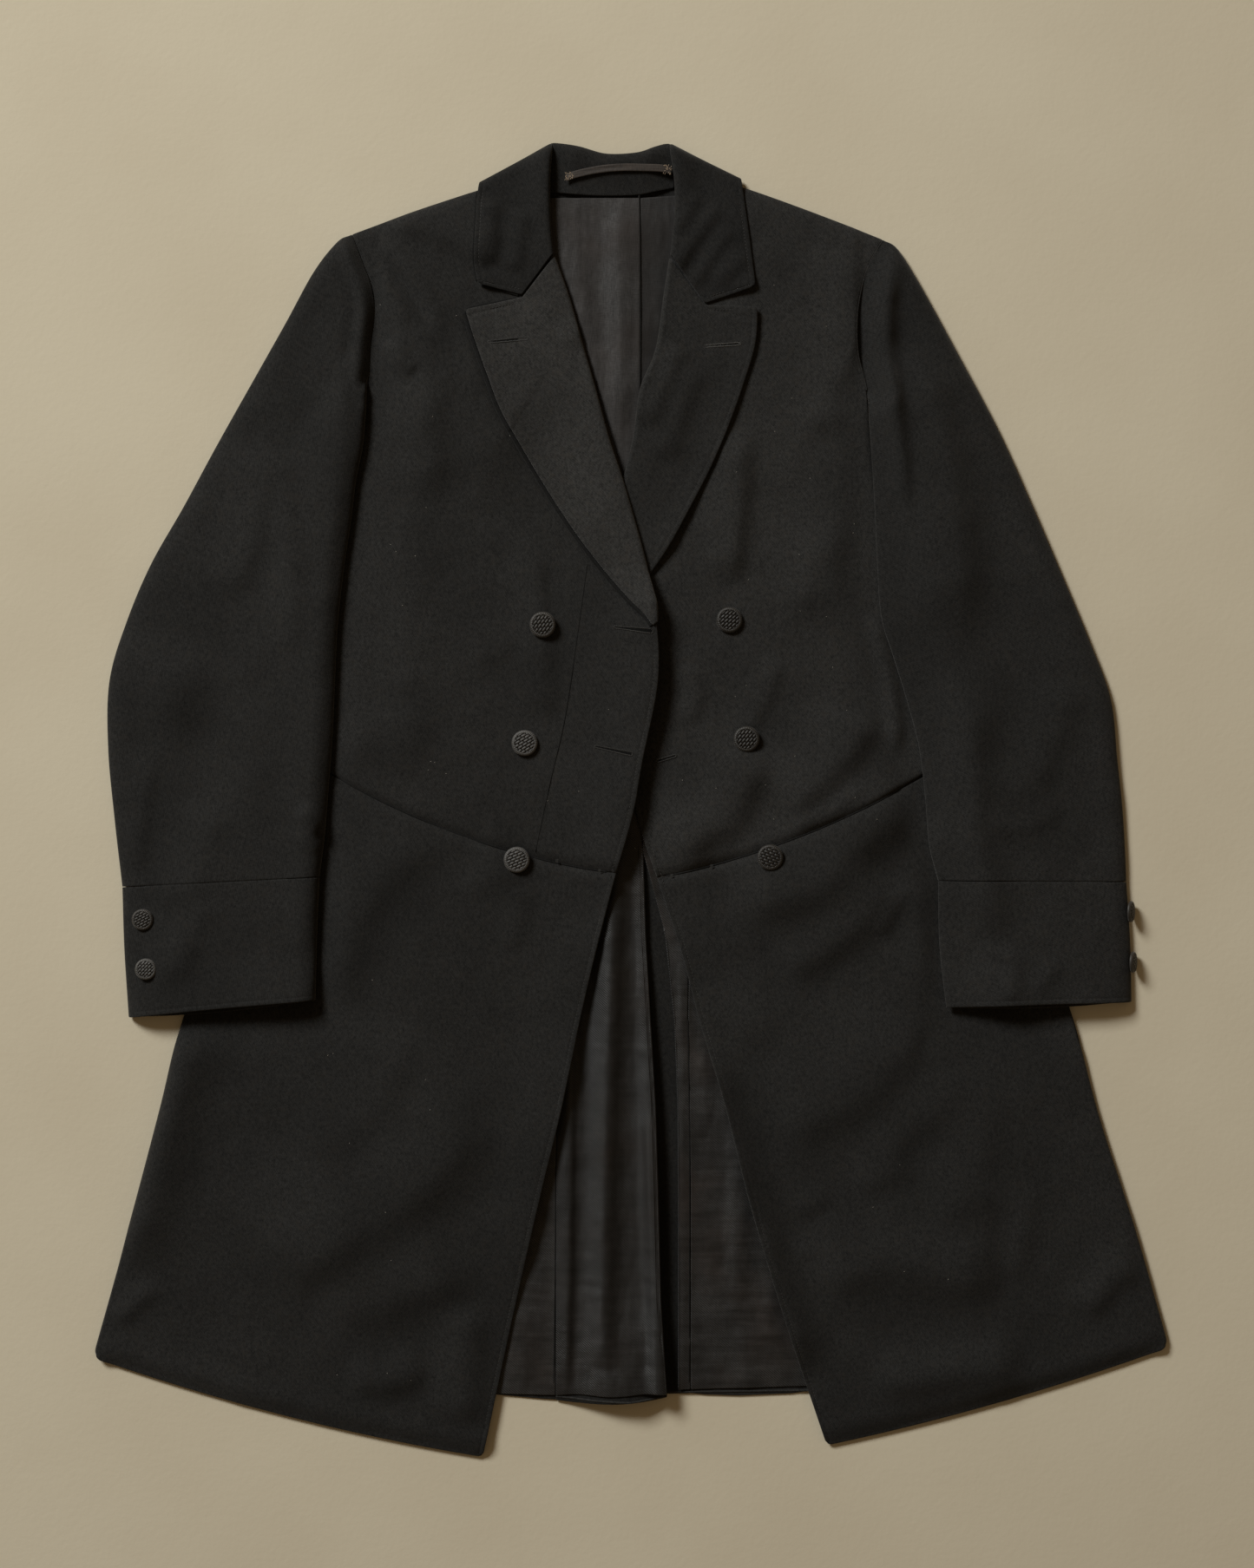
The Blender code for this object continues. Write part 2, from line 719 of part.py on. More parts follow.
def cuff(name, rows, made_of, collection):
    """A flattened band, open at both ends."""
    place = panel_place(rows)
    shares = [0.0, 0.016, 0.05, 0.11, 0.21, 0.33, 0.45, 0.57, 0.69, 0.8, 0.89, 0.95, 0.984, 1.0]
    around = [(share, 1) for share in shares] + [(share, -1) for share in shares[-2:0:-1]] + [(0.0, 1)]
    tall = 2 * WOOL + CUFF_HOLLOW

    def section(outer):
        def where(station, t):
            share, side = station
            width = away(place, 0.0, t, u_edge=1.0)
            cx, cy = place(share, t)
            inset = 0.0 if outer else WOOL / width
            x, y = place(inset + share * (1 - 2 * inset), t)
            edge = min(share, 1 - share) * width
            height = (tall if outer else tall - 2 * WOOL) * rounded(edge, SLEEVE_ROLL)
            middle = sleeve_base(cx, cy) + tall / 2
            return x, y, middle + side * height / 2

        return where

    return wall(name, around, stations(rows, 2), section(True), section(False), made_of, collection, closed=True)


def button(name, x, y, z, radius, made_of, collection, tilt=0.0):
    """A turned dome with a rim, its flat back at z, tilted towards +X by an angle in degrees."""
    scale = radius / FRONT_BUTTON_RADIUS
    profile = [(0.0, 4.2), (4.6, 3.9), (8.0, 2.9), (10.0, 1.5), (9.6, 0.5), (8.6, 0.0), (0.0, 0.0)]
    mesh = bpy.data.meshes.new(name)
    bm = bmesh.new()
    verts = [bm.verts.new((px * scale * MM, 0.0, pz * scale * MM)) for px, pz in profile]
    for first, second in zip(verts, verts[1:]):
        bm.edges.new((first, second))
    bm.to_mesh(mesh)
    bm.free()
    mesh.materials.append(made_of)
    thing = bpy.data.objects.new(name, mesh)
    turn = thing.modifiers.new("Turn", "SCREW")
    turn.steps = turn.render_steps = 12
    turn.use_merge_vertices = True
    turn.merge_threshold = 0.00001
    turn.use_smooth_shade = True
    thing.location = (x * MM, y * MM, z * MM)
    thing.rotation_euler = (0.0, math.radians(tilt), 0.0)
    collection.objects.link(thing)
    return thing


def highest(base, x, y, radius):
    """The highest point of a surface under a disc."""
    ring = [(x, y)] + [
        (x + r * math.cos(a * math.pi / 6), y + r * math.sin(a * math.pi / 6))
        for a in range(12)
        for r in (radius * 0.5, radius)
    ]
    return max(base(px, py) for px, py in ring)


def main():
    for thing in list(bpy.data.objects):
        bpy.data.objects.remove(thing)
    coat = bpy.data.collections.new("frock_coat")
    bpy.context.scene.collection.children.link(coat)

    wool = material("wool", (0.0172, 0.0168, 0.0160), 0.92)
    grey_lining = material("grey_lining", (0.040, 0.037, 0.037), 0.55)
    black_lining = material("black_lining", (0.0150, 0.0140, 0.0132), 0.42)
    thread = material("woven_button", (0.030, 0.027, 0.024), 0.6)
    tape = material("loop_tape", (0.034, 0.026, 0.022), 0.75)

    # The bottom layer
    across = [0.0, 0.15, 0.3, 0.45, 0.6, 0.75, 0.86, 0.94, 1.0]
    for name, rows, lift in (
        ("back_left", BACK_LEFT, vent_lift),
        ("back_right", BACK_RIGHT, lambda x, y: 0.0),
    ):
        sheet(
            name,
            rows,
            across,
            sorted(stations(rows, 1, first=(0.5,)) + [1.5]),
            lambda x, y, u, t, lift=lift: neck_rise(x, y) + lift(x, y),
            WOOL,
            wool,
            coat,
            curve=straight,
        )
    for name, rows in (("side_body_left", SIDE_BODY_LEFT), ("side_body_right", SIDE_BODY_RIGHT)):
        sheet(name, rows, [0.0, 1.0], stations(rows), lambda x, y, u, t: 0.0, WOOL, wool, coat, curve=straight)

    # Linings, where they show
    narrow = [0.0, 0.25, 0.5, 0.75, 1.0]
    for name, rows, lift, made_of in (
        ("lining_back_left", LINING_BACK_LEFT, neck_rise, grey_lining),
        ("lining_back_right", LINING_BACK_RIGHT, neck_rise, grey_lining),
        ("lining_skirt_left", LINING_SKIRT_LEFT, None, black_lining),
        ("lining_tail_left", LINING_TAIL_LEFT, vent_lift, black_lining),
        ("lining_tail_right", LINING_TAIL_RIGHT, None, black_lining),
        ("lining_skirt_right", LINING_SKIRT_RIGHT, None, black_lining),
    ):
        fine = 2 if name.startswith("lining_back") else 1
        us = across if name == "lining_tail_left" else narrow
        sheet(
            name,
            rows,
            us,
            stations(rows, fine),
            lambda x, y, u, t, lift=lift: LINING_LAYER + (lift(x, y) if lift else 0.0),
            LINING,
            made_of,
            coat,
            curve=straight,
        )

    # Foreparts, skirts and lapels
    forepart("forepart_right", FOREPART_RIGHT, front_right, wool, coat)
    forepart("forepart_left", FOREPART_LEFT, front_left, wool, coat)
    skirt("skirt_right", SKIRT_RIGHT, front_right, wool, coat)
    skirt("skirt_left", SKIRT_LEFT, front_left, wool, coat)
    lapel_us = [0.0, 0.2, 0.4, 0.62, 0.8, 1.0]
    for name, rows, base in (
        ("lapel_right", LAPEL_RIGHT, front_right),
        ("lapel_left", LAPEL_LEFT, front_left),
    ):
        sheet(
            name,
            rows,
            lapel_us,
            stations(rows, 2),
            lambda x, y, u, t, base=base: base(x, y) + WOOL + LAPEL_GAP,
            WOOL,
            wool,
            coat,
            knee=0.62,
        )

    # The collar
    for name, rows in (("collar_leaf_left", LEAF_LEFT), ("collar_leaf_right", LEAF_RIGHT)):
        place = panel_place(rows, 0.58)

        def leaf(x, y, u, t, place=place):
            edge = rounded(away(place, u, t, t_edge=0.0), COLLAR_ROLL)
            return (FRONT_TOP + neck_rise(x, y) + LEAF_GAP) * edge

        ts = stations(rows, 2, first=(0.07, 0.2))
        sheet(name, rows, [0.0, 0.2, 0.4, 0.58, 0.8, 1.0], ts, leaf, WOOL, wool, coat, knee=0.58)

    stand_place = panel_place(COLLAR_STAND)

    def stand(x, y, u, t):
        edge = rounded(away(stand_place, u, t, u_edge=1.0), COLLAR_ROLL)
        return (LINING_LAYER + COLLAR_FALL + 1.6 * ease(u / 0.7)) * edge

    sheet(
        "collar_stand",
        COLLAR_STAND,
        [0.0, 0.25, 0.5, 0.7, 0.82, 0.9, 0.96, 1.0],
        stations(COLLAR_STAND, 2),
        stand,
        WOOL,
        wool,
        coat,
    )
    sheet(
        "collar_fall",
        COLLAR_FALL_UNDER,
        [0.0, 1.0],
        stations(COLLAR_FALL_UNDER),
        lambda x, y, u, t: 0.0,
        WOOL,
        wool,
        coat,
    )

    # The hanger loop, an arch of tape over the stand
    loop = [Row(p.x, p.y - HANGER_WIDTH / 2, p.x, p.y + HANGER_WIDTH / 2) for p in HANGER_LOOP]
    ends = HANGER_LOOP[0].x, HANGER_LOOP[-1].x

    def loop_under(x, y, u, t):
        share = (x - ends[0]) / (ends[1] - ends[0])
        return LINING_LAYER + COLLAR_FALL + 1.6 + WOOL + 0.4 + 2.0 * math.sin(math.pi * clamp(share))

    sheet("hanger_loop", loop, [0.0, 1.0], stations(loop, 2), loop_under, HANGER_THICK, tape, coat)

    # Sleeves and cuffs
    for side, rows, cuff_rows in (("left", SLEEVE_LEFT, CUFF_LEFT), ("right", SLEEVE_RIGHT, CUFF_RIGHT)):
        forepart_rows = FOREPART_LEFT if side == "left" else FOREPART_RIGHT
        top_sleeve("sleeve_top_" + side, rows, forepart_rows, wool, coat)
        under_sleeve("sleeve_under_" + side, rows, forepart_rows, wool, coat)
        cuff("cuff_" + side, cuff_rows, wool, coat)

    # Buttons
    for i, p in enumerate(FRONT_BUTTONS):
        base = front_left if i < 3 else front_right
        z = highest(base, p.x, p.y, FRONT_BUTTON_RADIUS) + WOOL + 3 * SEAM
        side = "left" if i < 3 else "right"
        button(f"button_{side}_{i % 3 + 1}", p.x, p.y, z, FRONT_BUTTON_RADIUS, thread, coat)
    tall = 2 * WOOL + CUFF_HOLLOW
    for i, p in enumerate(CUFF_BUTTONS_LEFT):
        z = highest(sleeve_base, p.x, p.y, CUFF_BUTTON_RADIUS) + tall + 4 * SEAM
        button(f"cuff_button_left_{i + 1}", p.x, p.y, z, CUFF_BUTTON_RADIUS, thread, coat)
    for i, p in enumerate(CUFF_BUTTONS_RIGHT):
        button(f"cuff_button_right_{i + 1}", p.x, p.y, 8.6, CUFF_BUTTON_RADIUS, thread, coat, tilt=72.0)


main()
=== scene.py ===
"""A double-breasted wool frock coat laid flat on a pale floor, seen from straight above.

Lengths in the tables are millimetres in the frame of the CAD: +X to the viewer's right, +Y towards
the collar, +Z up from the floor. Left and right are the viewer's.
"""

import math
from collections import namedtuple

import bmesh
import bpy
import numpy as np
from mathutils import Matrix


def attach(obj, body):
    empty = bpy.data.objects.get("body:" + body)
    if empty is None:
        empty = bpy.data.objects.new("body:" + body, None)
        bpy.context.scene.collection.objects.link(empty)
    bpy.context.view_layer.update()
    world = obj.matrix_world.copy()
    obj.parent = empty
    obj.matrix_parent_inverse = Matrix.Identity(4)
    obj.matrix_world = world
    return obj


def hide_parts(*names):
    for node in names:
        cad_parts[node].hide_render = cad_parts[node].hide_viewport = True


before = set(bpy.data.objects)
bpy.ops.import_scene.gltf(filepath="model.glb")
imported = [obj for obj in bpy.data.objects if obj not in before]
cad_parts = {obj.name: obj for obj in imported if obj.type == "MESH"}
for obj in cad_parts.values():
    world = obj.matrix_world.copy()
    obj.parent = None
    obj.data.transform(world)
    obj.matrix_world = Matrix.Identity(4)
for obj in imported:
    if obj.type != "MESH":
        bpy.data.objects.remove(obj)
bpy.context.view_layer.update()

MM = 0.001

# Cloth, gaps and layers, as in the CAD
WOOL = 1.6
LINING = 1.0
SEAM = 0.3
LINING_LAYER = WOOL + SEAM
FRONT_LAYER = LINING_LAYER + LINING + SEAM
FRONT_TOP = FRONT_LAYER + WOOL
LAPEL_GAP = 0.7
LEAF_GAP = 0.6
COLLAR_FALL = WOOL + SEAM
OVERLAP = WOOL + SEAM
LAPEL_OVERLAP = OVERLAP + LAPEL_GAP + WOOL
SLEEVE_LAYER = FRONT_TOP + 0.8
VENT_LIFT = WOOL + SEAM
SHOULDER_ROLL = 8.0
SIDE_ROLL = 8.0
COLLAR_ROLL = 8.0
SLEEVE_ROLL = 14.0
CUFF_HOLLOW = 5.6
HEAD = 3.0
CORNER = 3.0
UNDERARM = 5.0
FRONT_BUTTON_RADIUS = 10.0
CUFF_BUTTON_RADIUS = 8.2

Row = namedtuple("Row", "xa ya xb yb bow xm ym", defaults=(0.0, None, None))
SkirtRow = namedtuple("SkirtRow", "xf yf xs ys xb yb bow")
Point = namedtuple("Point", "x y")
Grid = namedtuple("Grid", "u t x y a b c d")

FOREPART_LEFT = [
    Row(-215.5, 437, -64, 487, 2),
    Row(-207, 415, -62, 448),
    Row(-200, 396, -59, 421),
    Row(-198, 376, -50, 395),
    Row(-201, 350, -39, 358),
    Row(-203, 323, -29, 322),
    Row(-213, 285, -18, 285),
    Row(-224, 243, -5, 243),
    Row(-235, 195, 10, 190),
    Row(-243, 150, 19.5, 140),
    Row(-250, 110, 21, 91, -3),
    Row(-256, 76, 9, 29, -8),
    Row(-259, 56, 2, -10, -12),
    Row(-262, 38, -11, -56, -16),
]
FOREPART_RIGHT = [
    Row(194.5, 433, 38, 489, 2),
    Row(183, 412, 34, 448),
    Row(177, 392, 30, 421),
    Row(174, 370, 26, 392),
    Row(175, 345, 19, 346),
    Row(182, 316, 7, 316),
    Row(185, 280, 2, 281),
    Row(190, 243, -7, 250),
    Row(205, 193, -16, 197),
    Row(220, 148, -14, 145),
    Row(236, 105, -9, 90, -3),
    Row(247, 70, -2, 30, -7),
    Row(251, 52, 5, -15, -10),
    Row(255, 36, 20, -60, -13),
]
LAPEL_LEFT = [
    Row(-128, 379, -59, 420.5, 0, -83.7, 388),
    Row(-120, 354, -47, 387),
    Row(-110, 326, -38, 355),
    Row(-100, 300, -27, 317),
    Row(-84, 272, -17, 280),
    Row(-66, 242, -6, 247),
    Row(-46, 211, 3, 216),
    Row(-26, 184, 11, 187),
    Row(-4, 158, 17, 160),
    Row(10.5, 143.5, 19, 147),
    Row(17.4, 134.2, 19.7, 136.4),
]
LAPEL_RIGHT = [
    Row(98, 382, 30, 419.5, 0, 56.3, 381.5),
    Row(96, 352, 25, 388),
    Row(87, 321, 19, 348),
    Row(76, 290, 7, 317),
    Row(62, 257, 2, 282),
    Row(45, 224, -5, 252),
    Row(29, 195, -13, 222),
    Row(12, 171, -16, 190),
    Row(-8, 150, -15, 158),
]
LEAF_LEFT = [
    Row(-117, 477, -60, 508),
    Row(-119, 461, -62, 481),
    Row(-120, 440, -62, 455),
    Row(-121, 416, -61, 436, -4),
    Row(-118, 398, -59.6, 421.8, 0, -84.4, 389.4),
]
LEAF_RIGHT = [
    Row(85, 480, 29, 507.5),
    Row(88, 458, 33, 482),
    Row(91, 437, 34, 455),
    Row(94, 414, 32, 434, -4),
    Row(96, 396, 30.6, 420.8, 0, 57.4, 382.8),
]
COLLAR_STAND = [
    Row(-63.4, 469.5, -63.4, 506.5),
    Row(-58.4, 469.3, -58.4, 507.8),
    Row(-40, 467.5, -40, 505),
    Row(-19, 466.6, -19, 499.5),
    Row(5, 467.3, 5, 500.5),
    Row(19, 470, 19, 505),
    Row(28.5, 472.0, 28.0, 507.3),
    Row(33.0, 473.0, 33.0, 505.5),
]
COLLAR_FALL_UNDER = [
    Row(-104, 452, -104, 470),
    Row(-80, 449, -80, 487),
    Row(-59, 448, -59, 500),
    Row(-19, 447, -19, 492),
    Row(28, 448, 28, 499),
    Row(55, 449, 55, 485),
    Row(74, 452, 74, 472),
]
HANGER_LOOP = [
    Point(-50, 479.5),
    Point(-44, 482),
    Point(-28, 485.5),
    Point(-10, 487.5),
    Point(10, 487.5),
    Point(24, 487),
    Point(31, 485),
]
HANGER_WIDTH = 5.8
HANGER_THICK = 1.2
BACK_LEFT = [
    Row(-204, 428, 7, 465.5, 12),
    Row(-195, 405, 7, 435, 6),
    Row(-191, 375, 7, 390, 2),
    Row(-192, 345, 7, 345),
    Row(-178, 322, 7, 322),
    Row(-125, 240, 7, 240),
    Row(-82, 140, 7.5, 140),
    Row(-54, 40, 8, 40),
    Row(-40, -40, 9, -40),
    Row(-46, -105, 11, -105),
    Row(-51, -170, 15, -170),
    Row(-57, -235, 19, -235),
    Row(-58, -300, 21, -300),
    Row(-58, -385, 23, -385),
    Row(-58, -464, 28, -461, -3),
]
BACK_RIGHT = [
    Row(184, 425, 7.3, 465.5, 12),
    Row(174, 403, 7.3, 435, 6),
    Row(169, 375, 7.3, 390, 2),
    Row(169, 345, 7.3, 345),
    Row(172, 322, 7.3, 322),
    Row(140, 240, 7.3, 240),
    Row(96, 140, 7.8, 140),
    Row(66, 40, 8.3, 40),
    Row(48, -40, 9.3, -40),
    Row(45, -105, 11.3, -105),
    Row(44, -170, 15.4, -170),
    Row(45, -235, 10, -235),
    Row(46, -300, 12, -300),
    Row(46, -385, 14, -385),
    Row(46, -459, 18, -459.5),
]
SIDE_BODY_LEFT = [
    Row(-199, 315, -178.3, 321.7),
    Row(-218, 240, -125.3, 240),
    Row(-236, 140, -82.3, 140),
    Row(-250, 65, -54.3, 40),
    Row(-256, 36, -40.3, -40),
]
SIDE_BODY_RIGHT = [
    Row(177, 308, 172.3, 321.7),
    Row(184, 240, 140.3, 240),
    Row(216, 140, 96.3, 140),
    Row(242, 62, 66.3, 40),
    Row(249, 34, 48.3, -40),
]
SKIRT_LEFT = [
    SkirtRow(-11, -56.5, -262, 37.5, -40.5, -40.5, -16),
    SkirtRow(-27, -119, -290, -33, -46.3, -105, -15),
    SkirtRow(-40, -175, -318, -100, -51.3, -170, -14),
    SkirtRow(-53, -238, -346, -168, -57.3, -235, -13),
    SkirtRow(-70, -308, -364, -240, -58.3, -300, -12),
    SkirtRow(-92, -405, -390, -338, -58.3, -385, -10),
    SkirtRow(-114, -508, -416, -431, -58.3, -464, -7),
]
SKIRT_RIGHT = [
    SkirtRow(20, -60.5, 255, 35.5, 48.5, -40.5, -13),
    SkirtRow(38, -115, 285, -30, 45.3, -105, -12),
    SkirtRow(53, -172, 312, -95, 44.3, -170, -12),
    SkirtRow(72, -235, 340, -163, 45.3, -235, -11),
    SkirtRow(91, -310, 362, -244, 46.3, -300, -10),
    SkirtRow(118, -400, 390, -332, 46.3, -385, -8),
    SkirtRow(151, -499, 416, -423, 46.3, -459, -5),
]
LINING_BACK_LEFT = [
    Row(-62, 465, 7, 465),
    Row(-84, 400, 7, 400),
    Row(-66, 330, 7, 330),
    Row(-48, 270, 7, 270),
    Row(-34, 215, 7, 215),
]
LINING_BACK_RIGHT = [
    Row(36, 467, 7.3, 465),
    Row(60, 400, 7.3, 400),
    Row(52, 330, 7.3, 330),
    Row(42, 270, 7.3, 270),
    Row(32, 215, 7.3, 215),
]
LINING_SKIRT_LEFT = [
    Row(-74, -150, -49.6, -150),
    Row(-84, -235, -57.3, -235),
    Row(-100, -300, -58.3, -300),
    Row(-124, -385, -58.3, -385),
    Row(-142, -458, -58.3, -460),
]
LINING_TAIL_LEFT = [
    Row(-26, 20, 8, 20),
    Row(-40, -40, 9, -40),
    Row(-46, -105, 11, -105),
    Row(-51, -170, 14.7, -170),
    Row(-57, -235, 18.5, -235),
    Row(-58, -300, 20.5, -300),
    Row(-58, -385, 22.5, -385),
    Row(-58, -460, 27, -457.5),
]
LINING_TAIL_RIGHT = [
    Row(28, 20, 8.3, 20),
    Row(47, -40, 9.3, -40),
    Row(44.7, -105, 27, -105),
    Row(43.7, -170, 34, -170),
    Row(44.7, -235, 36.5, -235),
    Row(45.7, -300, 37, -300),
    Row(45.7, -385, 37, -385),
    Row(45.7, -455.5, 37, -455.5),
]
LINING_SKIRT_RIGHT = [
    Row(70, -105, 45.3, -105),
    Row(84, -170, 44.3, -170),
    Row(106, -235, 45.3, -235),
    Row(128, -300, 46.3, -300),
    Row(152, -385, 46.3, -385),
    Row(172, -452, 46.3, -455.5),
]
SLEEVE_LEFT = [
    Row(-216, 437, -198.8, 376),
    Row(-227, 431, -203.8, 323),
    Row(-245, 408, -205, 296),
    Row(-267, 368, -207, 272),
    Row(-293, 322, -212, 246),
    Row(-320, 274, -216, 214),
    Row(-346, 226, -221, 180),
    Row(-371, 182, -226, 135),
    Row(-390, 137, -228, 95),
    Row(-403, 92, -230, 50),
    Row(-404, 40, -233, 10),
    Row(-399, -15, -236, -27),
    Row(-393, -67, -240, -59),
]
SLEEVE_RIGHT = [
    Row(195, 433, 174.8, 370),
    Row(206, 426, 182.8, 316),
    Row(223, 399, 184.2, 290),
    Row(251, 348, 186, 264),
    Row(284, 286, 188, 228),
    Row(311, 226, 190, 184),
    Row(335, 170, 193, 142),
    Row(355, 122, 202, 112),
    Row(371, 78, 212, 80),
    Row(376, 32, 222, 42),
    Row(380, -6, 227, 2),
    Row(382, -38, 230, -34),
    Row(383, -63, 237, -62),
]
CUFF_LEFT = [
    Row(-393, -67.4, -240, -59.4),
    Row(-391.5, -115, -242, -106),
    Row(-388, -168, -243, -154),
]
CUFF_RIGHT = [
    Row(383, -63.4, 237, -62.4),
    Row(386, -110, 238, -111),
    Row(387, -156, 243, -160),
]
SIDE_LEFT = [
    Point(-203, 323),
    Point(-224, 243),
    Point(-243, 150),
    Point(-262, 38),
    Point(-290, -33),
    Point(-346, -168),
    Point(-364, -240),
]
SIDE_RIGHT = [
    Point(182, 316),
    Point(190, 243),
    Point(220, 148),
    Point(255, 36),
    Point(285, -30),
    Point(340, -163),
    Point(362, -244),
]
HIDDEN_EDGE_RIGHT = [
    Point(26, 392),
    Point(7, 316),
    Point(-7, 250),
    Point(-16, 197),
    Point(-14, 145),
    Point(-9, 90),
    Point(-2, 30),
    Point(5, -15),
    Point(20, -60),
    Point(38, -115),
    Point(90, -310),
]
FRONT_BUTTONS = [Point(-68, 135), Point(-82, 44), Point(-88, -46), Point(76, 139), Point(89, 47), Point(107, -44)]
CUFF_BUTTONS_LEFT = [Point(-376, -92), Point(-373, -130)]
CUFF_BUTTONS_RIGHT = [Point(386.3, -86), Point(388, -125)]

# Places in the picture, 1445 wide and 1807 high, as millimetres on the coat
PICTURE_SCALE = 0.67
PICTURE_X = 727.0
PICTURE_Y = 922.0


def at(px, py):
    return Point((px - PICTURE_X) * PICTURE_SCALE, (PICTURE_Y - py) * PICTURE_SCALE)


def points(*pairs):
    return [at(px, py) for px, py in pairs]


# Small functions -----------------------------------------------------------------------------------


def unit(vx, vy):
    length = np.maximum(np.hypot(vx, vy), 1e-9)
    return vx / length, vy / length


def ease(t):
    t = np.clip(t, 0.0, 1.0)
    return t * t * (3 - 2 * t)


def rounded(distance, radius):
    t = np.clip(distance / radius, 0.0, 1.0)
    return np.sqrt(np.maximum(1 - (1 - t) ** 2, 0.0))


def through(values, t):
    v = np.asarray(values, float)
    last = len(v) - 1
    t = np.asarray(t, float)
    i = np.clip(np.floor(t).astype(int), 0, last - 1)
    f = t - i
    p1, p2 = v[i], v[i + 1]
    p0 = np.where(i > 0, v[np.maximum(i - 1, 0)], 2 * p1 - p2)
    p3 = np.where(i + 2 <= last, v[np.minimum(i + 2, last)], 2 * p2 - p1)
    return p1 + 0.5 * f * (p2 - p0 + f * (2 * p0 - 5 * p1 + 4 * p2 - p3 + f * (3 * (p1 - p2) + p3 - p0)))


def straight(values, t):
    v = np.asarray(values, float)
    t = np.asarray(t, float)
    i = np.clip(np.floor(t).astype(int), 0, len(v) - 2)
    return v[i] + (v[i + 1] - v[i]) * (t - i)


def column(rows, field):
    return [getattr(row, field) for row in rows]


def x_at(edge, y):
    """The x of an edge table at a height y, for a table that runs from high y to low y."""
    ys = np.array([p.y for p in edge][::-1])
    xs = np.array([p.x for p in edge][::-1])
    return np.interp(y, ys, xs)


def panel_place(rows, knee=None, curve=through):
    columns = {field: column(rows, field) for field in ("xa", "ya", "xb", "yb", "bow")}
    share = 0.5 if knee is None else knee
    middle_x = [row.xa + (row.xb - row.xa) * share if row.xm is None else row.xm for row in rows]
    middle_y = [row.ya + (row.yb - row.ya) * share if row.ym is None else row.ym for row in rows]

    def place(u, t):
        u, t = np.asarray(u, float), np.asarray(t, float)
        xa, ya, xb, yb, bow = (curve(columns[field], t) for field in ("xa", "ya", "xb", "yb", "bow"))
        xm, ym = curve(middle_x, t), curve(middle_y, t)
        if knee is not None:
            f, g = u / knee, (u - knee) / (1 - knee)
            x = np.where(u <= knee, xa + (xm - xa) * f, xm + (xb - xm) * g)
            y = np.where(u <= knee, ya + (ym - ya) * f, ym + (yb - ym) * g)
        else:
            cx, cy = 2 * xm - (xa + xb) / 2, 2 * ym - (ya + yb) / 2
            x = (1 - u) ** 2 * xa + 2 * u * (1 - u) * cx + u * u * xb
            y = (1 - u) ** 2 * ya + 2 * u * (1 - u) * cy + u * u * yb
        return x, y + bow * 4 * u * (1 - u)

    return place


def sleeve_place(rows, forepart_rows):
    free = panel_place(rows)
    armhole = panel_place(forepart_rows)
    gap = (-1 if rows[0].xa < 0 else 1) * 2.0 * SEAM

    def seam(t):
        x, y = armhole(np.zeros_like(t), t)
        return x + gap, y

    def outer(t):
        x, y = free(np.zeros_like(t), t)
        share = np.maximum(1 - t, 0.0)
        sx, sy = seam(np.zeros_like(t))
        return x + (sx - rows[0].xa) * share, y + (sy - rows[0].ya) * share

    def inner(t):
        sx, sy = seam(CORNER + (UNDERARM - CORNER) * np.minimum(t, 1.0))
        fx, fy = free(np.ones_like(t), t)
        return np.where(t < 1, sx, fx), np.where(t < 1, sy, fy)

    def place(u, t):
        u, t = np.broadcast_arrays(np.asarray(u, float), np.asarray(t, float))
        fx, fy = free(u, t)
        head = np.minimum(t, HEAD)
        s = head / HEAD
        first, last, left, right = seam(CORNER * u), free(u, np.full_like(t, HEAD)), outer(head), inner(head)
        zero, one = np.zeros_like(t), np.ones_like(t)
        corners = seam(zero), seam(CORNER * one), free(zero, HEAD * one), free(one, HEAD * one)
        filled = [
            first[i] * (1 - s)
            + last[i] * s
            + (1 - u) * (left[i] - corners[0][i] * (1 - s) - corners[2][i] * s)
            + u * (right[i] - corners[1][i] * (1 - s) - corners[3][i] * s)
            for i in (0, 1)
        ]
        return np.where(t < HEAD, filled[0], fx), np.where(t < HEAD, filled[1], fy)

    return place


def wobble(x, y, size, seed):
    """Smooth unevenness from about -1 to 1 with waves around one size, the same each run."""
    rng = np.random.default_rng(seed)
    total = np.zeros_like(x, dtype=float)
    for k in range(9):
        angle = rng.uniform(0, math.pi * 2)
        length = size * rng.uniform(0.65, 1.6)
        phase = rng.uniform(0, math.pi * 2)
        total += np.sin((x * math.cos(angle) + y * math.sin(angle)) * 2 * math.pi / length + phase)
    return total / 4.2


# Folds ---------------------------------------------------------------------------------------------

Fold = namedtuple("Fold", "line left right height taper", defaults=(0.35,))


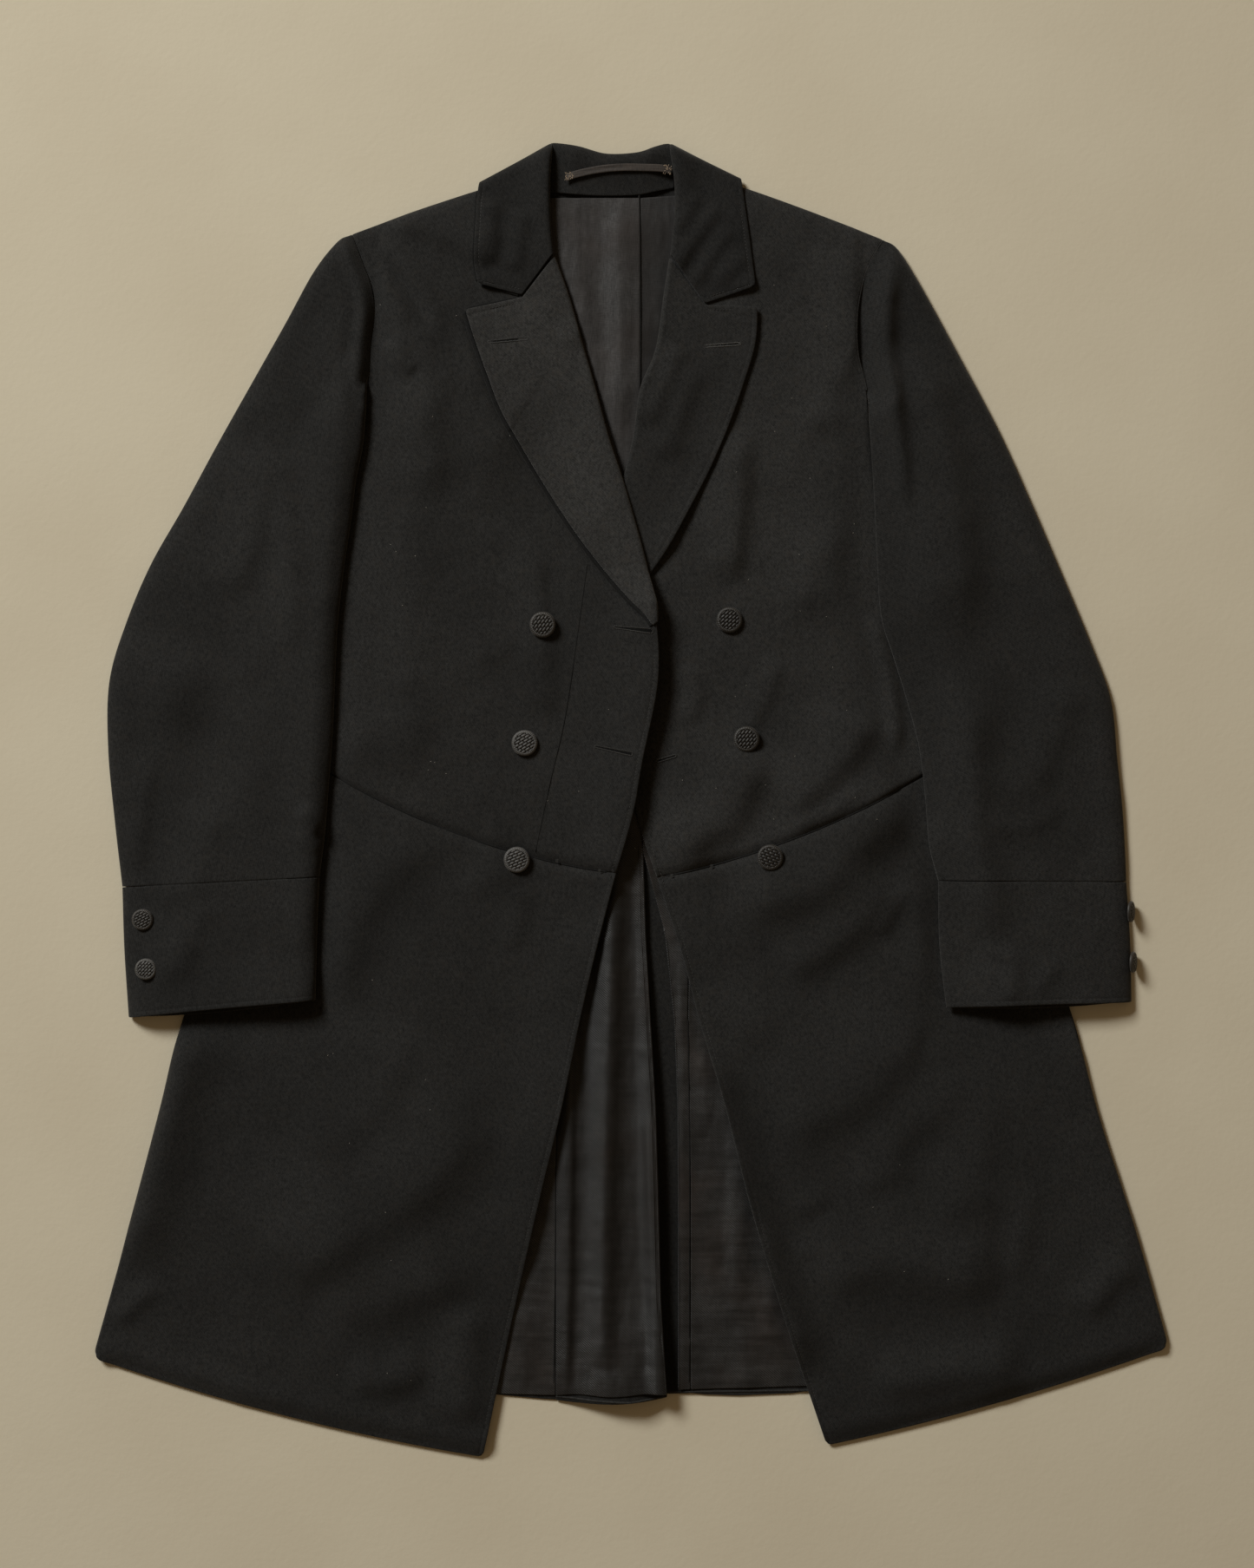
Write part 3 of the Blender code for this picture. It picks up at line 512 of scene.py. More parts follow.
def fold_height(fold, x, y):
    """A soft ridge or trough along a line of points; left and right are its widths on each side of it."""
    xs = np.array([p.x for p in fold.line])
    ys = np.array([p.y for p in fold.line])
    lengths = np.hypot(np.diff(xs), np.diff(ys))
    run = np.concatenate([[0.0], np.cumsum(lengths)])
    best = np.full(np.shape(x), 1e9)
    side = np.zeros(np.shape(x))
    along = np.zeros(np.shape(x))
    for k in range(len(lengths)):
        dx, dy = (xs[k + 1] - xs[k]) / lengths[k], (ys[k + 1] - ys[k]) / lengths[k]
        s = np.clip((x - xs[k]) * dx + (y - ys[k]) * dy, 0, lengths[k])
        ox, oy = x - xs[k] - s * dx, y - ys[k] - s * dy
        distance = np.hypot(ox, oy)
        near = distance < best
        best = np.where(near, distance, best)
        side = np.where(near, ox * dy - oy * dx, side)
        along = np.where(near, run[k] + s, along)
    width = np.where(side < 0, fold.left, fold.right)
    end = max(fold.taper * run[-1], min(0.46 * run[-1], 1.1 * (fold.left + fold.right) / 2), 1e-6)
    ends = ease(along / end) * ease((run[-1] - along) / end)
    return fold.height * np.exp(-((best / width) ** 2)) * ends


LIGHT_SIDE = (-0.66, 0.751)


def shaded(width, strength, *pairs, back=1.8, taper=0.22):
    """A ridge whose shaded side, away from the window, lies on a line of picture places.

    width is that side's width in picture pixels, strength its steepness from 0 to 1.
    """
    line = points(*pairs)
    side = width * PICTURE_SCALE * 0.78
    height = strength * 0.95 * side / 0.858
    xs, ys = np.array([p.x for p in line]), np.array([p.y for p in line])
    dx, dy = unit(np.gradient(xs), np.gradient(ys))
    facing = -dy * LIGHT_SIDE[0] + dx * LIGHT_SIDE[1]
    sign = 1 if facing.sum() > 0 else -1
    crest = [Point(x - sign * ty * 0.7 * side, y + sign * tx * 0.7 * side) for x, y, tx, ty in zip(xs, ys, dx, dy)]
    left, right = (back * side, side) if sign > 0 else (side, back * side)
    return Fold(crest, left, right, height, taper)


def relief_of(folds, x, y):
    x, y = np.broadcast_arrays(np.asarray(x, float), np.asarray(y, float))
    total = np.zeros(x.shape)
    for fold in folds:
        reach = 2.6 * max(fold.left, fold.right)
        fx, fy = [p.x for p in fold.line], [p.y for p in fold.line]
        near = (x > min(fx) - reach) & (x < max(fx) + reach) & (y > min(fy) - reach) & (y < max(fy) + reach)
        if near.any():
            total[near] += fold_height(fold, x[near], y[near])
    return total


BODY_FOLDS = [
    # left chest, beside the armhole
    Fold(points((420, 284), (444, 302), (468, 332), (488, 362), (500, 400)), 17, 16, 6.8, 0.4),
    Fold(points((420, 284), (444, 302), (468, 332), (488, 362), (498, 394)), 7.0, 7.4, -9.0, 0.42),
    Fold(points((452, 330), (460, 370), (462, 410), (456, 446)), 8, 8, 2.4, 0.3),
    shaded(12, 0.55, (438, 398), (456, 420), (476, 438), back=1.2),
    shaded(34, 0.3, (500, 350), (507, 430), (511, 510), (508, 590), back=1.0),
    shaded(22, 0.34, (440, 262), (490, 276), (530, 290), (566, 314)),
    shaded(56, 0.2, (430, 450), (480, 500), (550, 556), (600, 580), taper=0.35),
    # left front
    shaded(17, 0.5, (610, 596), (625, 650), (631, 710), (631, 770), (624, 836), back=2.0, taper=0.35),
    shaded(13, 0.2, (646, 700), (644, 760), (638, 830), back=1.4),
    shaded(36, 0.22, (478, 790), (486, 840), (490, 900), back=2.4),
    shaded(18, 0.2, (600, 740), (575, 758), (545, 770)),
    # right front
    shaded(20, 0.55, (862, 490), (862, 560), (856, 620), (850, 680), back=1.8),
    shaded(26, 0.22, (984, 276), (988, 350), (994, 470), back=1.5),
    shaded(14, 0.34, (908, 752), (892, 800), (872, 838), (842, 852), back=1.7),
    shaded(32, 0.5, (900, 868), (872, 908), (850, 955), (804, 982), (762, 996), back=1.7),
    shaded(30, 0.55, (1018, 822), (992, 868), (960, 904), (926, 934), (904, 954), back=1.7),
    shaded(10, 0.4, (1004, 906), (960, 940), (906, 962), back=1.3),
    shaded(44, 0.52, (1070, 922), (1030, 958), (1000, 985), (976, 1018), (950, 1040), (896, 1056), (836, 1070), back=1.7),
    shaded(30, 0.42, (1042, 1014), (1012, 1058), (980, 1090), (942, 1114), (896, 1132), back=1.6),
    shaded(10, 0.4, (1050, 1020), (1034, 1050), (1016, 1084), back=1.2),
    shaded(24, 0.2, (985, 480), (950, 494), (926, 512)),
    shaded(12, 0.3, (800, 760), (812, 800), (800, 840)),
    shaded(30, 0.2, (900, 1150), (880, 1190), (850, 1220)),
    # left skirt
    shaded(34, 0.28, (524, 980), (478, 1002), (448, 1032), (424, 1074), (408, 1116), (402, 1164), back=1.8),
    shaded(32, 0.25, (620, 1010), (580, 1026), (530, 1020)),
    shaded(46, 0.42, (590, 1310), (545, 1334), (516, 1368), (480, 1398), (438, 1425), (398, 1446), (366, 1472), (336, 1506), back=2.0, taper=0.2),
    shaded(60, 0.14, (450, 1410), (396, 1456), (346, 1520)),
    shaded(38, 0.2, (484, 1180), (472, 1240), (446, 1284), (400, 1320), (340, 1344)),
    shaded(46, 0.34, (560, 1466), (500, 1500), (440, 1520), (360, 1530)),
    shaded(52, 0.36, (244, 1140), (226, 1250), (206, 1330), (190, 1400), (172, 1474), back=1.2, taper=0.2),
    shaded(11, 0.55, (186, 1484), (164, 1504), (136, 1532), back=1.5),
    shaded(24, 0.45, (500, 1586), (450, 1604), (396, 1600), back=1.4),
    shaded(26, 0.4, (556, 1500), (552, 1570), (546, 1650), back=1.4),
    shaded(16, 0.3, (612, 1020), (606, 1060), (600, 1100), back=1.5),
    # right skirt
    shaded(42, 0.34, (1090, 1186), (1044, 1236), (1010, 1270), (978, 1292), (936, 1312), (890, 1326), back=1.8),
    shaded(30, 0.26, (1130, 1240), (1084, 1288), (1050, 1320), (1014, 1346), back=1.6),
    shaded(24, 0.28, (1064, 1346), (1020, 1366), (980, 1376)),
    shaded(34, 0.24, (1150, 1372), (1112, 1400), (1084, 1424)),
    shaded(42, 0.34, (926, 1500), (976, 1486), (1022, 1476), (1064, 1486), (1112, 1492), (1164, 1490), back=1.5),
    shaded(13, 0.3, (1196, 1364), (1188, 1420), (1176, 1480), back=1.6),
    shaded(20, 0.45, (1318, 1468), (1288, 1480), (1268, 1508), (1254, 1524), back=1.4),
    shaded(30, 0.48, (1190, 1588), (1120, 1596), (1060, 1604), (1000, 1610), back=1.3),
    shaded(34, 0.62, (822, 1180), (850, 1290), (876, 1380), (900, 1450), (924, 1510), (950, 1590), back=0.8, taper=0.16),
    shaded(30, 0.22, (1150, 1220), (1146, 1300), (1142, 1400), (1150, 1500)),
    Fold(points((1058, 980), (1068, 1080), (1070, 1170)), 30, 14, 4.4, 0.3),
    shaded(12, 0.3, (960, 1380), (938, 1396), (912, 1404)),
    shaded(12, 0.25, (950, 1440), (930, 1450), (910, 1452)),
    # broad fullness of the fronts
    Fold(points((976, 580), (940, 650), (920, 730)), 26, 20, 5.0, 0.3),
    Fold(points((482, 540), (474, 640), (470, 760), (478, 850)), 26, 18, 3.4, 0.25),
]
RIGHT_SIDE_FOLDS = [shaded(10, 0.85, (1008, 700), (1022, 745), (1033, 790), (1038, 835), (1040, 874), back=1.2, taper=0.2)]
LEFT_EDGE_FOLDS = [
    Fold(points((750, 640), (757, 690), (760, 740), (758, 820), (746, 890), (726, 940), (712, 1000), (700, 1060)), 24, 34, 12.2, 0.22),
    Fold(points((712, 1000), (690, 1080), (668, 1180), (644, 1290), (622, 1390), (596, 1500)), 20, 30, 6.0, 0.2),
]
SLEEVE_FOLDS = [
    # right sleeve
    shaded(15, 0.95, (1036, 286), (1028, 350), (1027, 400), (1033, 460), (1042, 530), (1050, 590), back=1.2, taper=0.2),
    shaded(13, 0.42, (1029, 416), (1035, 480), (1044, 545), (1052, 620), back=1.2, taper=0.25),
    shaded(38, 0.44, (1056, 380), (1086, 450), (1106, 520), (1120, 600), (1123, 680), (1118, 750), back=1.8),
    shaded(30, 0.26, (1246, 780), (1228, 846), (1204, 900), (1180, 950), back=1.6),
    shaded(36, 0.42, (1142, 770), (1132, 880), (1138, 980), (1160, 1090), back=1.6),
    shaded(14, 0.25, (1230, 940), (1180, 960), (1130, 962)),
    shaded(13, 0.3, (1100, 900), (1094, 950), (1090, 990), back=1.2),
    # left sleeve
    Fold(points((402, 300), (404, 380), (398, 470), (388, 560), (376, 660), (368, 780), (362, 900), (362, 1010), (352, 1140)), 9, 19, 3.2, 0.12),
    shaded(24, 0.32, (318, 500), (314, 560), (306, 620), (288, 670), (256, 704), back=1.8),
    shaded(52, 0.26, (250, 750), (220, 820), (168, 850), back=1.6),
    shaded(12, 0.3, (186, 860), (172, 930), (168, 1010), back=1.4),
    shaded(11, 0.9, (342, 934), (356, 948), (370, 964), back=1.0),
    shaded(9, 0.3, (338, 962), (352, 972), (366, 986), back=1.0),
    shaded(24, 0.22, (268, 930), (240, 1000), (222, 1060)),
    shaded(20, 0.24, (330, 500), (346, 620), (350, 760), back=1.2),
]
CUFF_FOLDS = [
    shaded(11, 0.4, (1124, 1094), (1146, 1104), (1172, 1108), back=1.2),
    shaded(12, 0.35, (1178, 1096), (1172, 1130), (1168, 1156), back=1.2),
    shaded(10, 0.3, (1222, 1110), (1206, 1130), (1196, 1150), back=1.2),
    shaded(24, 0.3, (240, 1110), (206, 1124), (170, 1134)),
    shaded(14, 0.2, (250, 1040), (232, 1080), (222, 1110)),
]
TAIL_FOLDS = [
    # the linings of the lower opening: ridges that run up and down
    Fold(points((657, 1180), (657, 1300), (656, 1450), (652, 1615)), 3.6, 8.0, 3.4, 0.12),
    Fold(points((715, 960), (706, 1080), (700, 1250), (697, 1420), (695, 1620)), 9.0, 11.0, 8.4, 0.2),
    Fold(points((738, 940), (742, 1040), (747, 1180), (750, 1300)), 8.0, 7.0, 3.4, 0.3),
    Fold(points((748, 1150), (750, 1250), (754, 1400), (761, 1615), (766, 1800)), 12.0, 8.0, 8.2, 0.28),
    Fold(points((787, 1080), (787, 1300), (787, 1500), (788, 1615)), 6, 5, 1.5, 0.1),
    Fold(points((848, 1300), (852, 1400), (850, 1540)), 10, 8, 2.6, 0.3),
    Fold(points((815, 1130), (812, 1220), (806, 1330)), 8, 7, 1.2, 0.3),
    Fold(points((826, 1260), (822, 1380), (816, 1520)), 7, 9, -0.9, 0.3),
    Fold(points((884, 1380), (888, 1440), (890, 1560)), 9, 8, 1.6, 0.3),
    Fold(points((862, 1520), (858, 1570), (862, 1612)), 10, 10, 1.2, 0.3),
    Fold(points((900, 1496), (850, 1499), (810, 1503)), 3.0, 4.0, -0.7, 0.25),
    Fold(points((760, 1572), (710, 1578), (672, 1574)), 4.0, 5.0, -1.2, 0.25),
    Fold(points((600, 1500), (604, 1560), (600, 1612)), 9, 9, 1.0, 0.3),
]
NECK_FOLDS = [
    Fold(points((713, 214), (714, 330), (716, 430), (719, 500)), 21, 8.5, 5.6, 0.22),
    Fold(points((758, 236), (760, 300), (754, 400)), 9, 8, 1.0, 0.15),
    Fold(points((656, 250), (668, 310), (686, 400)), 7, 7, 0.8, 0.3),
    Fold(points((664, 232), (690, 236), (712, 234)), 5, 5, 0.5, 0.3),
]
LEAF_FOLDS = [
    shaded(11, 0.34, (838, 236), (818, 262), (798, 292), (780, 322), back=1.2),
    shaded(11, 0.3, (852, 262), (830, 292), (810, 322), (794, 342), back=1.2),
    shaded(10, 0.24, (812, 226), (796, 252), (782, 276), back=1.2),
    shaded(12, 0.24, (866, 296), (846, 318), (826, 334), back=1.2),
    shaded(14, 0.4, (574, 226), (572, 268), (576, 310), back=1.2),
    shaded(14, 0.35, (612, 240), (604, 280), (598, 320), back=1.3),
]
LAPEL_FOLDS = [
    shaded(16, 0.4, (794, 396), (780, 430), (766, 462), (752, 500), back=1.2),
    shaded(20, 0.3, (812, 420), (792, 480), (774, 540), back=1.2),
    shaded(14, 0.22, (690, 372), (672, 392), (640, 398), back=1.4),
]


NECK_ROLL = ([190, 243, 285, 322, 358, 395, 421, 470], [10, -5, -18, -29, -39, -50, -59, -62])


def lining_relief(x, y):
    """What the linings of the lower opening and of the neck add; it fades out under the fronts."""
    left = np.interp(y, [-508, -308, -175, -56, 0], [-114, -70, -40, -11, 0])
    right = np.interp(y, [-499, -310, -172, -60, 0], [151, 91, 53, 20, 5])
    tail = ease((x - left + 34) / 26) * ease((right + 30 - x) / 26) * ease((-8 - y) / 60)
    roll_left = np.interp(y, [190, 243, 285, 322, 358, 395, 421, 470], [10, -5, -18, -29, -39, -50, -59, -62])
    roll_right = np.interp(y, [197, 250, 281, 316, 346, 392, 421, 470], [-16, -7, 2, 7, 19, 26, 30, 34])
    neck = ease((x - roll_left + 14) / 12) * ease((roll_right + 14 - x) / 12) * ease((y - 225) / 60) * ease((467 - y) / 8)
    total = np.zeros(np.shape(x))
    if np.any(tail > 0):
        total = total + relief_of(TAIL_FOLDS, x, y) * tail
    if np.any(neck > 0):
        total = total + relief_of(NECK_FOLDS, x, y) * neck
    return np.maximum(total, -0.1)


def tail_bulge(x, y):
    """The left tail's hem stands off the floor."""
    return 12.5 * np.exp(-(((x + 8) / 31) ** 2)) * ease((-372 - y) / 92)


# Heights of the layers -----------------------------------------------------------------------------


def neck_rise(x, y):
    return COLLAR_FALL * ease((y - 356) / 86) * ease((x + 190) / 72) * ease((162 - x) / 72)


def clear_of_sleeve(x, y):
    inner_left = np.minimum(np.maximum(-203 - (322 - y) * 0.115, -243), -200)
    inner_right = np.maximum(np.minimum(184 + np.maximum(170 - y, 0) * 0.24, 243), 180)
    ramp = 26 - 15 * ease((y - 316) / 40)
    free = np.minimum(ease((x - inner_left - 2) / ramp), ease((inner_right - 2 - x) / ramp))
    return np.maximum(free, ease((-172 - y) / 30))


def air(x, y):
    """How far the fronts stand off what is under them, with all their folds."""
    free = clear_of_sleeve(x, y) * ease((484 - y) / 36)
    uneven = 0.75 * wobble(x, y, 120, 3) + 0.34 * wobble(x, y, 46, 5) + 0.13 * wobble(x, y, 21, 8)
    raised = 1.8 + uneven + relief_of(BODY_FOLDS, x, y)
    close = np.exp(-(((x - np.interp(y, *NECK_ROLL)) / 17.0) ** 2)) * ease((y - 170) / 60)
    return np.maximum(raised, 0.0) * free * (1 - 0.7 * close) + lining_relief(x, y)


def overlap_rise(x, y):
    edge = x_at(HIDDEN_EDGE_RIGHT, y)
    climb = ease((x - edge + 66) / 56)
    lapel = ease((372 - y) / 108) * ease((y - 40) / 98)
    return climb * (OVERLAP + (LAPEL_OVERLAP - OVERLAP) * lapel) * ease((470 - y) / 120)


def front_left(x, y):
    return FRONT_LAYER + neck_rise(x, y) + overlap_rise(x, y) + air(x, y) + relief_of(LEFT_EDGE_FOLDS, x, y)


def front_right(x, y):
    return FRONT_LAYER + neck_rise(x, y) + air(x, y) + relief_of(RIGHT_SIDE_FOLDS, x, y)


def vent_lift(x, y):
    centre = x_at([Point(row.xb, row.yb) for row in BACK_LEFT], y)
    return VENT_LIFT * ease((x - centre + 44) / 30) * ease((-104 - y) / 52) + tail_bulge(x, y)


def sleeve_base(x, y, wider=1.0):
    left = x < 0
    edge_x = np.where(left, x_at(SIDE_LEFT, np.minimum(y, 323)), x_at(SIDE_RIGHT, np.minimum(y, 316)))
    underarm = np.where(left, 323.0, 316.0)
    outside = np.where(left, edge_x - x, x - edge_x)
    reach = np.clip(7 + (underarm - y) * 0.2, 7, 24) * wider
    outside = np.where(y > underarm, np.hypot(np.maximum(outside, 0.0), y - underarm), outside)
    return SLEEVE_LAYER * (1 - ease((outside - 11) / reach))


# Grids ---------------------------------------------------------------------------------------------

SOFT = [0.8, 1.4, 2.2, 3.0, 3.6, 4.2, 5.0, 6.6, 9.2, 13.0]
PLAIN = [0.8, 2.0, 4.5, 9.0]
SEWN = [0.25, 1.4, 3.4, 7.0]
ROUND = [0.8, 1.2, 1.9, 3.0, 4.6, 6.6, 9.2, 12.5]


def spread(total, first, last, middle):
    first, last = np.array(first, float), np.array(last, float)
    need = 0.2 * total
    if total - first[-1] - last[-1] < need:
        scale = (total - need) / (first[-1] + last[-1])
        first, last = first * scale, last * scale
    inside = np.linspace(first[-1], total - last[-1], middle + 2)[1:-1]
    return np.concatenate([first, inside, total - last[::-1]])


def lay_out(place, last, ends, across, along):
    """A grid over a panel, its stations in millimetres from the four edges. ends: for a, b, c and d."""
    a_end, b_end, c_end, d_end = ends
    fine = np.linspace(0, last, 70 * last + 1)
    mx, my = place(np.full_like(fine, 0.5), fine)
    run = np.concatenate([[0.0], np.cumsum(np.hypot(np.diff(mx), np.diff(my)))])
    c = spread(run[-1], c_end, d_end, along)
    t = np.interp(c, run, fine)
    uu = np.linspace(0, 1, 61)
    px, py = place(uu[:, None] + 0 * t[None, :], t[None, :] + 0 * uu[:, None])
    lengths = np.hypot(np.diff(px, axis=0), np.diff(py, axis=0))
    cum = np.concatenate([np.zeros((1, len(t))), np.cumsum(lengths, axis=0)])
    a, u = [], []
    for j in range(len(t)):
        width = cum[-1, j]
        near = b_end(t[j], width) if callable(b_end) else b_end
        stations = spread(width, a_end, near, across)
        a.append(stations)
        u.append(np.interp(stations, cum[:, j], uu))
    a, u = np.array(a).T, np.array(u).T
    tt = np.broadcast_to(t, u.shape).copy()
    x, y = place(u, tt)
    return Grid(u, tt, x, y, a, cum[-1][None, :] - a, np.broadcast_to(c, u.shape), np.broadcast_to(run[-1] - c, u.shape))


def round_corners(grid, **radii):
    """The corners between two edges, such as ac, as quarter rounds."""
    eu = unit(np.gradient(grid.x, axis=0), np.gradient(grid.y, axis=0))
    et = unit(np.gradient(grid.x, axis=1), np.gradient(grid.y, axis=1))
    x, y = grid.x.copy(), grid.y.copy()
    for corner, radius in radii.items():
        first, second = getattr(grid, corner[0]), getattr(grid, corner[1])
        p, q = radius - first, radius - second
        inside = (p > 0) & (q > 0)
        scale = np.where(inside, np.maximum(p, q) / np.maximum(np.hypot(p, q), 1e-9), 1.0)
        du, dt = np.where(inside, p * (1 - scale), 0), np.where(inside, q * (1 - scale), 0)
        su = 1 if corner[0] == "a" else -1
        st = 1 if corner[1] == "c" else -1
        x += su * du * eu[0] + st * dt * et[0]
        y += su * du * eu[1] + st * dt * et[1]
    return grid._replace(x=x, y=y)


def seam_dip(distance, deep=3.2, wide=2.7):
    """The cloth sinks a little into a seam."""
    return deep * np.exp(-((distance / wide) ** 2))


def hem_roll(distance):
    """A turned hem: a little fuller a finger's width in, and rounding down at its edge."""
    return 1.2 * np.exp(-(((distance - 13) / 8.0) ** 2)) - 1.4 * (1 - rounded(distance, 6.0)) - 3.0 * (1 - ease(distance / 13.0))


def stitched(distance, deep=0.32):
    """A stitched edge: a small bead, and the groove of the stitching inside it."""
    return -deep * np.exp(-(((distance - 3.9) / 0.75) ** 2)) + 0.10 * np.exp(-(((distance - 2.2) / 1.0) ** 2))


# Making --------------------------------------------------------------------------------------------

coat = bpy.data.collections.new("frock_coat")
bpy.context.scene.collection.children.link(coat)


def mesh_object(name, verts, faces, material, tidy=True, shift=(0, 0, 0), second=None, chosen=None):
    mesh = bpy.data.meshes.new(name)
    mesh.from_pydata((np.asarray(verts) * MM).tolist(), [], faces)
    if second is not None:
        for polygon, pick in zip(mesh.polygons, chosen):
            polygon.material_index = 1 if pick else 0
    if tidy:
        bm = bmesh.new()
        bm.from_mesh(mesh)
        bmesh.ops.recalc_face_normals(bm, faces=bm.faces[:])
        bm.to_mesh(mesh)
        bm.free()
    mesh.materials.append(material)
    if second is not None:
        mesh.materials.append(second)
    mesh.shade_smooth()
    thing = bpy.data.objects.new(name, mesh)
    thing.location = shift
    coat.objects.link(thing)
    return thing


def grid_faces(n, m, start, wrap=False, flip=False):
    i = np.arange(n if wrap else n - 1)
    j = np.arange(m - 1)
    ii, jj = np.meshgrid(i, j, indexing="ij")
    nx = (ii + 1) % n
    quads = np.stack([ii * m + jj, nx * m + jj, nx * m + jj + 1, ii * m + jj + 1], axis=-1).reshape(-1, 4) + start
    return quads[:, ::-1] if flip else quads


def strip_faces(first, second):
    """Quads between two rings of vertex numbers of the same length."""
    a, b = np.asarray(first), np.asarray(second)
    return np.stack([a, np.roll(a, -1), np.roll(b, -1), b], axis=-1)


def cloth(name, mid, thick, material, closed=False, bulge=(1, 1, 1, 1), top=None):
    """A closed shell of even thickness round a grid of points, its edges rounded.

    bulge says how round the edges at u = 0, u = 1, t = 0 and t = 1 are; top is the part of the first
    axis whose outside faces up.
    """
    n, m = mid.shape[:2]
    if closed:
        tu = np.roll(mid, -1, axis=0) - np.roll(mid, 1, axis=0)
    else:
        tu = np.gradient(mid, axis=0)
    tv = np.gradient(mid, axis=1)
    normal = np.cross(tu, tv)
    normal /= np.maximum(np.linalg.norm(normal, axis=2, keepdims=True), 1e-9)
    if normal[top if top is not None else slice(None), :, 2].mean() < 0:
        normal = -normal
    half = thick / 2
    outer, inner = mid + normal * half, mid - normal * half
    verts = [outer.reshape(-1, 3), inner.reshape(-1, 3)]
    size = n * m
    faces = [grid_faces(n, m, 0, closed), grid_faces(n, m, size, closed, True)]
    number = np.arange(size).reshape(n, m)
    count = 2 * size
    angles = np.radians([35, 65, 90, 115, 145])

    def rim(index, outward, round_by):
        nonlocal count
        i, j = index
        centre, up = mid[i, j], normal[i, j]
        rings = [number[i, j]]
        for angle in angles:
            verts.append(centre + up * half * math.cos(angle) + outward * (half * math.sin(angle) * round_by)[:, None])
            rings.append(np.arange(count, count + len(i)))
            count += len(i)
        rings.append(number[i, j] + size)
        for first, second in zip(rings, rings[1:]):
            faces.append(strip_faces(first, second))

    def tidy(outward, centre):
        along = np.roll(centre, -1, axis=0) - np.roll(centre, 1, axis=0)
        along /= np.maximum(np.linalg.norm(along, axis=1, keepdims=True), 1e-9)
        return outward, along

    if closed:
        for j, other, k in ((0, 1, 2), (m - 1, m - 2, 3)):
            i = np.arange(n)
            out = mid[:, j] - mid[:, other]
            out /= np.maximum(np.linalg.norm(out, axis=1, keepdims=True), 1e-9)
            rim((i, np.full(n, j)), out, np.full(n, float(bulge[k])))
    else:
        i = np.concatenate([np.arange(n), np.full(m - 1, n - 1), np.arange(n - 2, -1, -1), np.zeros(m - 2, int)])
        j = np.concatenate([np.zeros(n, int), np.arange(1, m), np.full(n - 1, m - 1), np.arange(m - 2, 0, -1)])
        out = np.zeros((len(i), 3))
        by = np.zeros(len(i))
        weight = np.zeros(len(i))
        for test, di, dj, k in (
            (i == 0, 1, 0, 0),
            (i == n - 1, -1, 0, 1),
            (j == 0, 0, 1, 2),
            (j == m - 1, 0, -1, 3),
        ):
            step = mid[i[test], j[test]] - mid[i[test] + di, j[test] + dj]
            step /= np.maximum(np.linalg.norm(step, axis=1, keepdims=True), 1e-9)
            out[test] += step
            by[test] += bulge[k]
            weight[test] += 1
        out /= np.maximum(np.linalg.norm(out, axis=1, keepdims=True), 1e-9)
        centre = mid[i, j]
        corner = weight > 1.5
        along = np.roll(centre, -1, axis=0) - np.roll(centre, 1, axis=0)
        along /= np.maximum(np.linalg.norm(along, axis=1, keepdims=True), 1e-9)
        square = out - along * (out * along).sum(axis=1, keepdims=True)
        square /= np.maximum(np.linalg.norm(square, axis=1, keepdims=True), 1e-9)
        out = np.where(corner[:, None], out, square)
        rim((i, j), out, by / weight)
    return mesh_object(name, np.concatenate(verts), np.concatenate(faces).tolist(), material)


def flat_area(mid, closed=False):
    """The area of a grid of points, in square metres."""
    p = mid if not closed else np.concatenate([mid, mid[:1]])
    d1, d2 = p[1:, 1:] - p[:-1, :-1], p[1:, :-1] - p[:-1, 1:]
    return float(np.linalg.norm(np.cross(d1, d2), axis=2).sum() / 2) * 1e-6


def stack(x, y, z):
    return np.stack([x, y, z + 0 * x], axis=-1)


# Materials -----------------------------------------------------------------------------------------


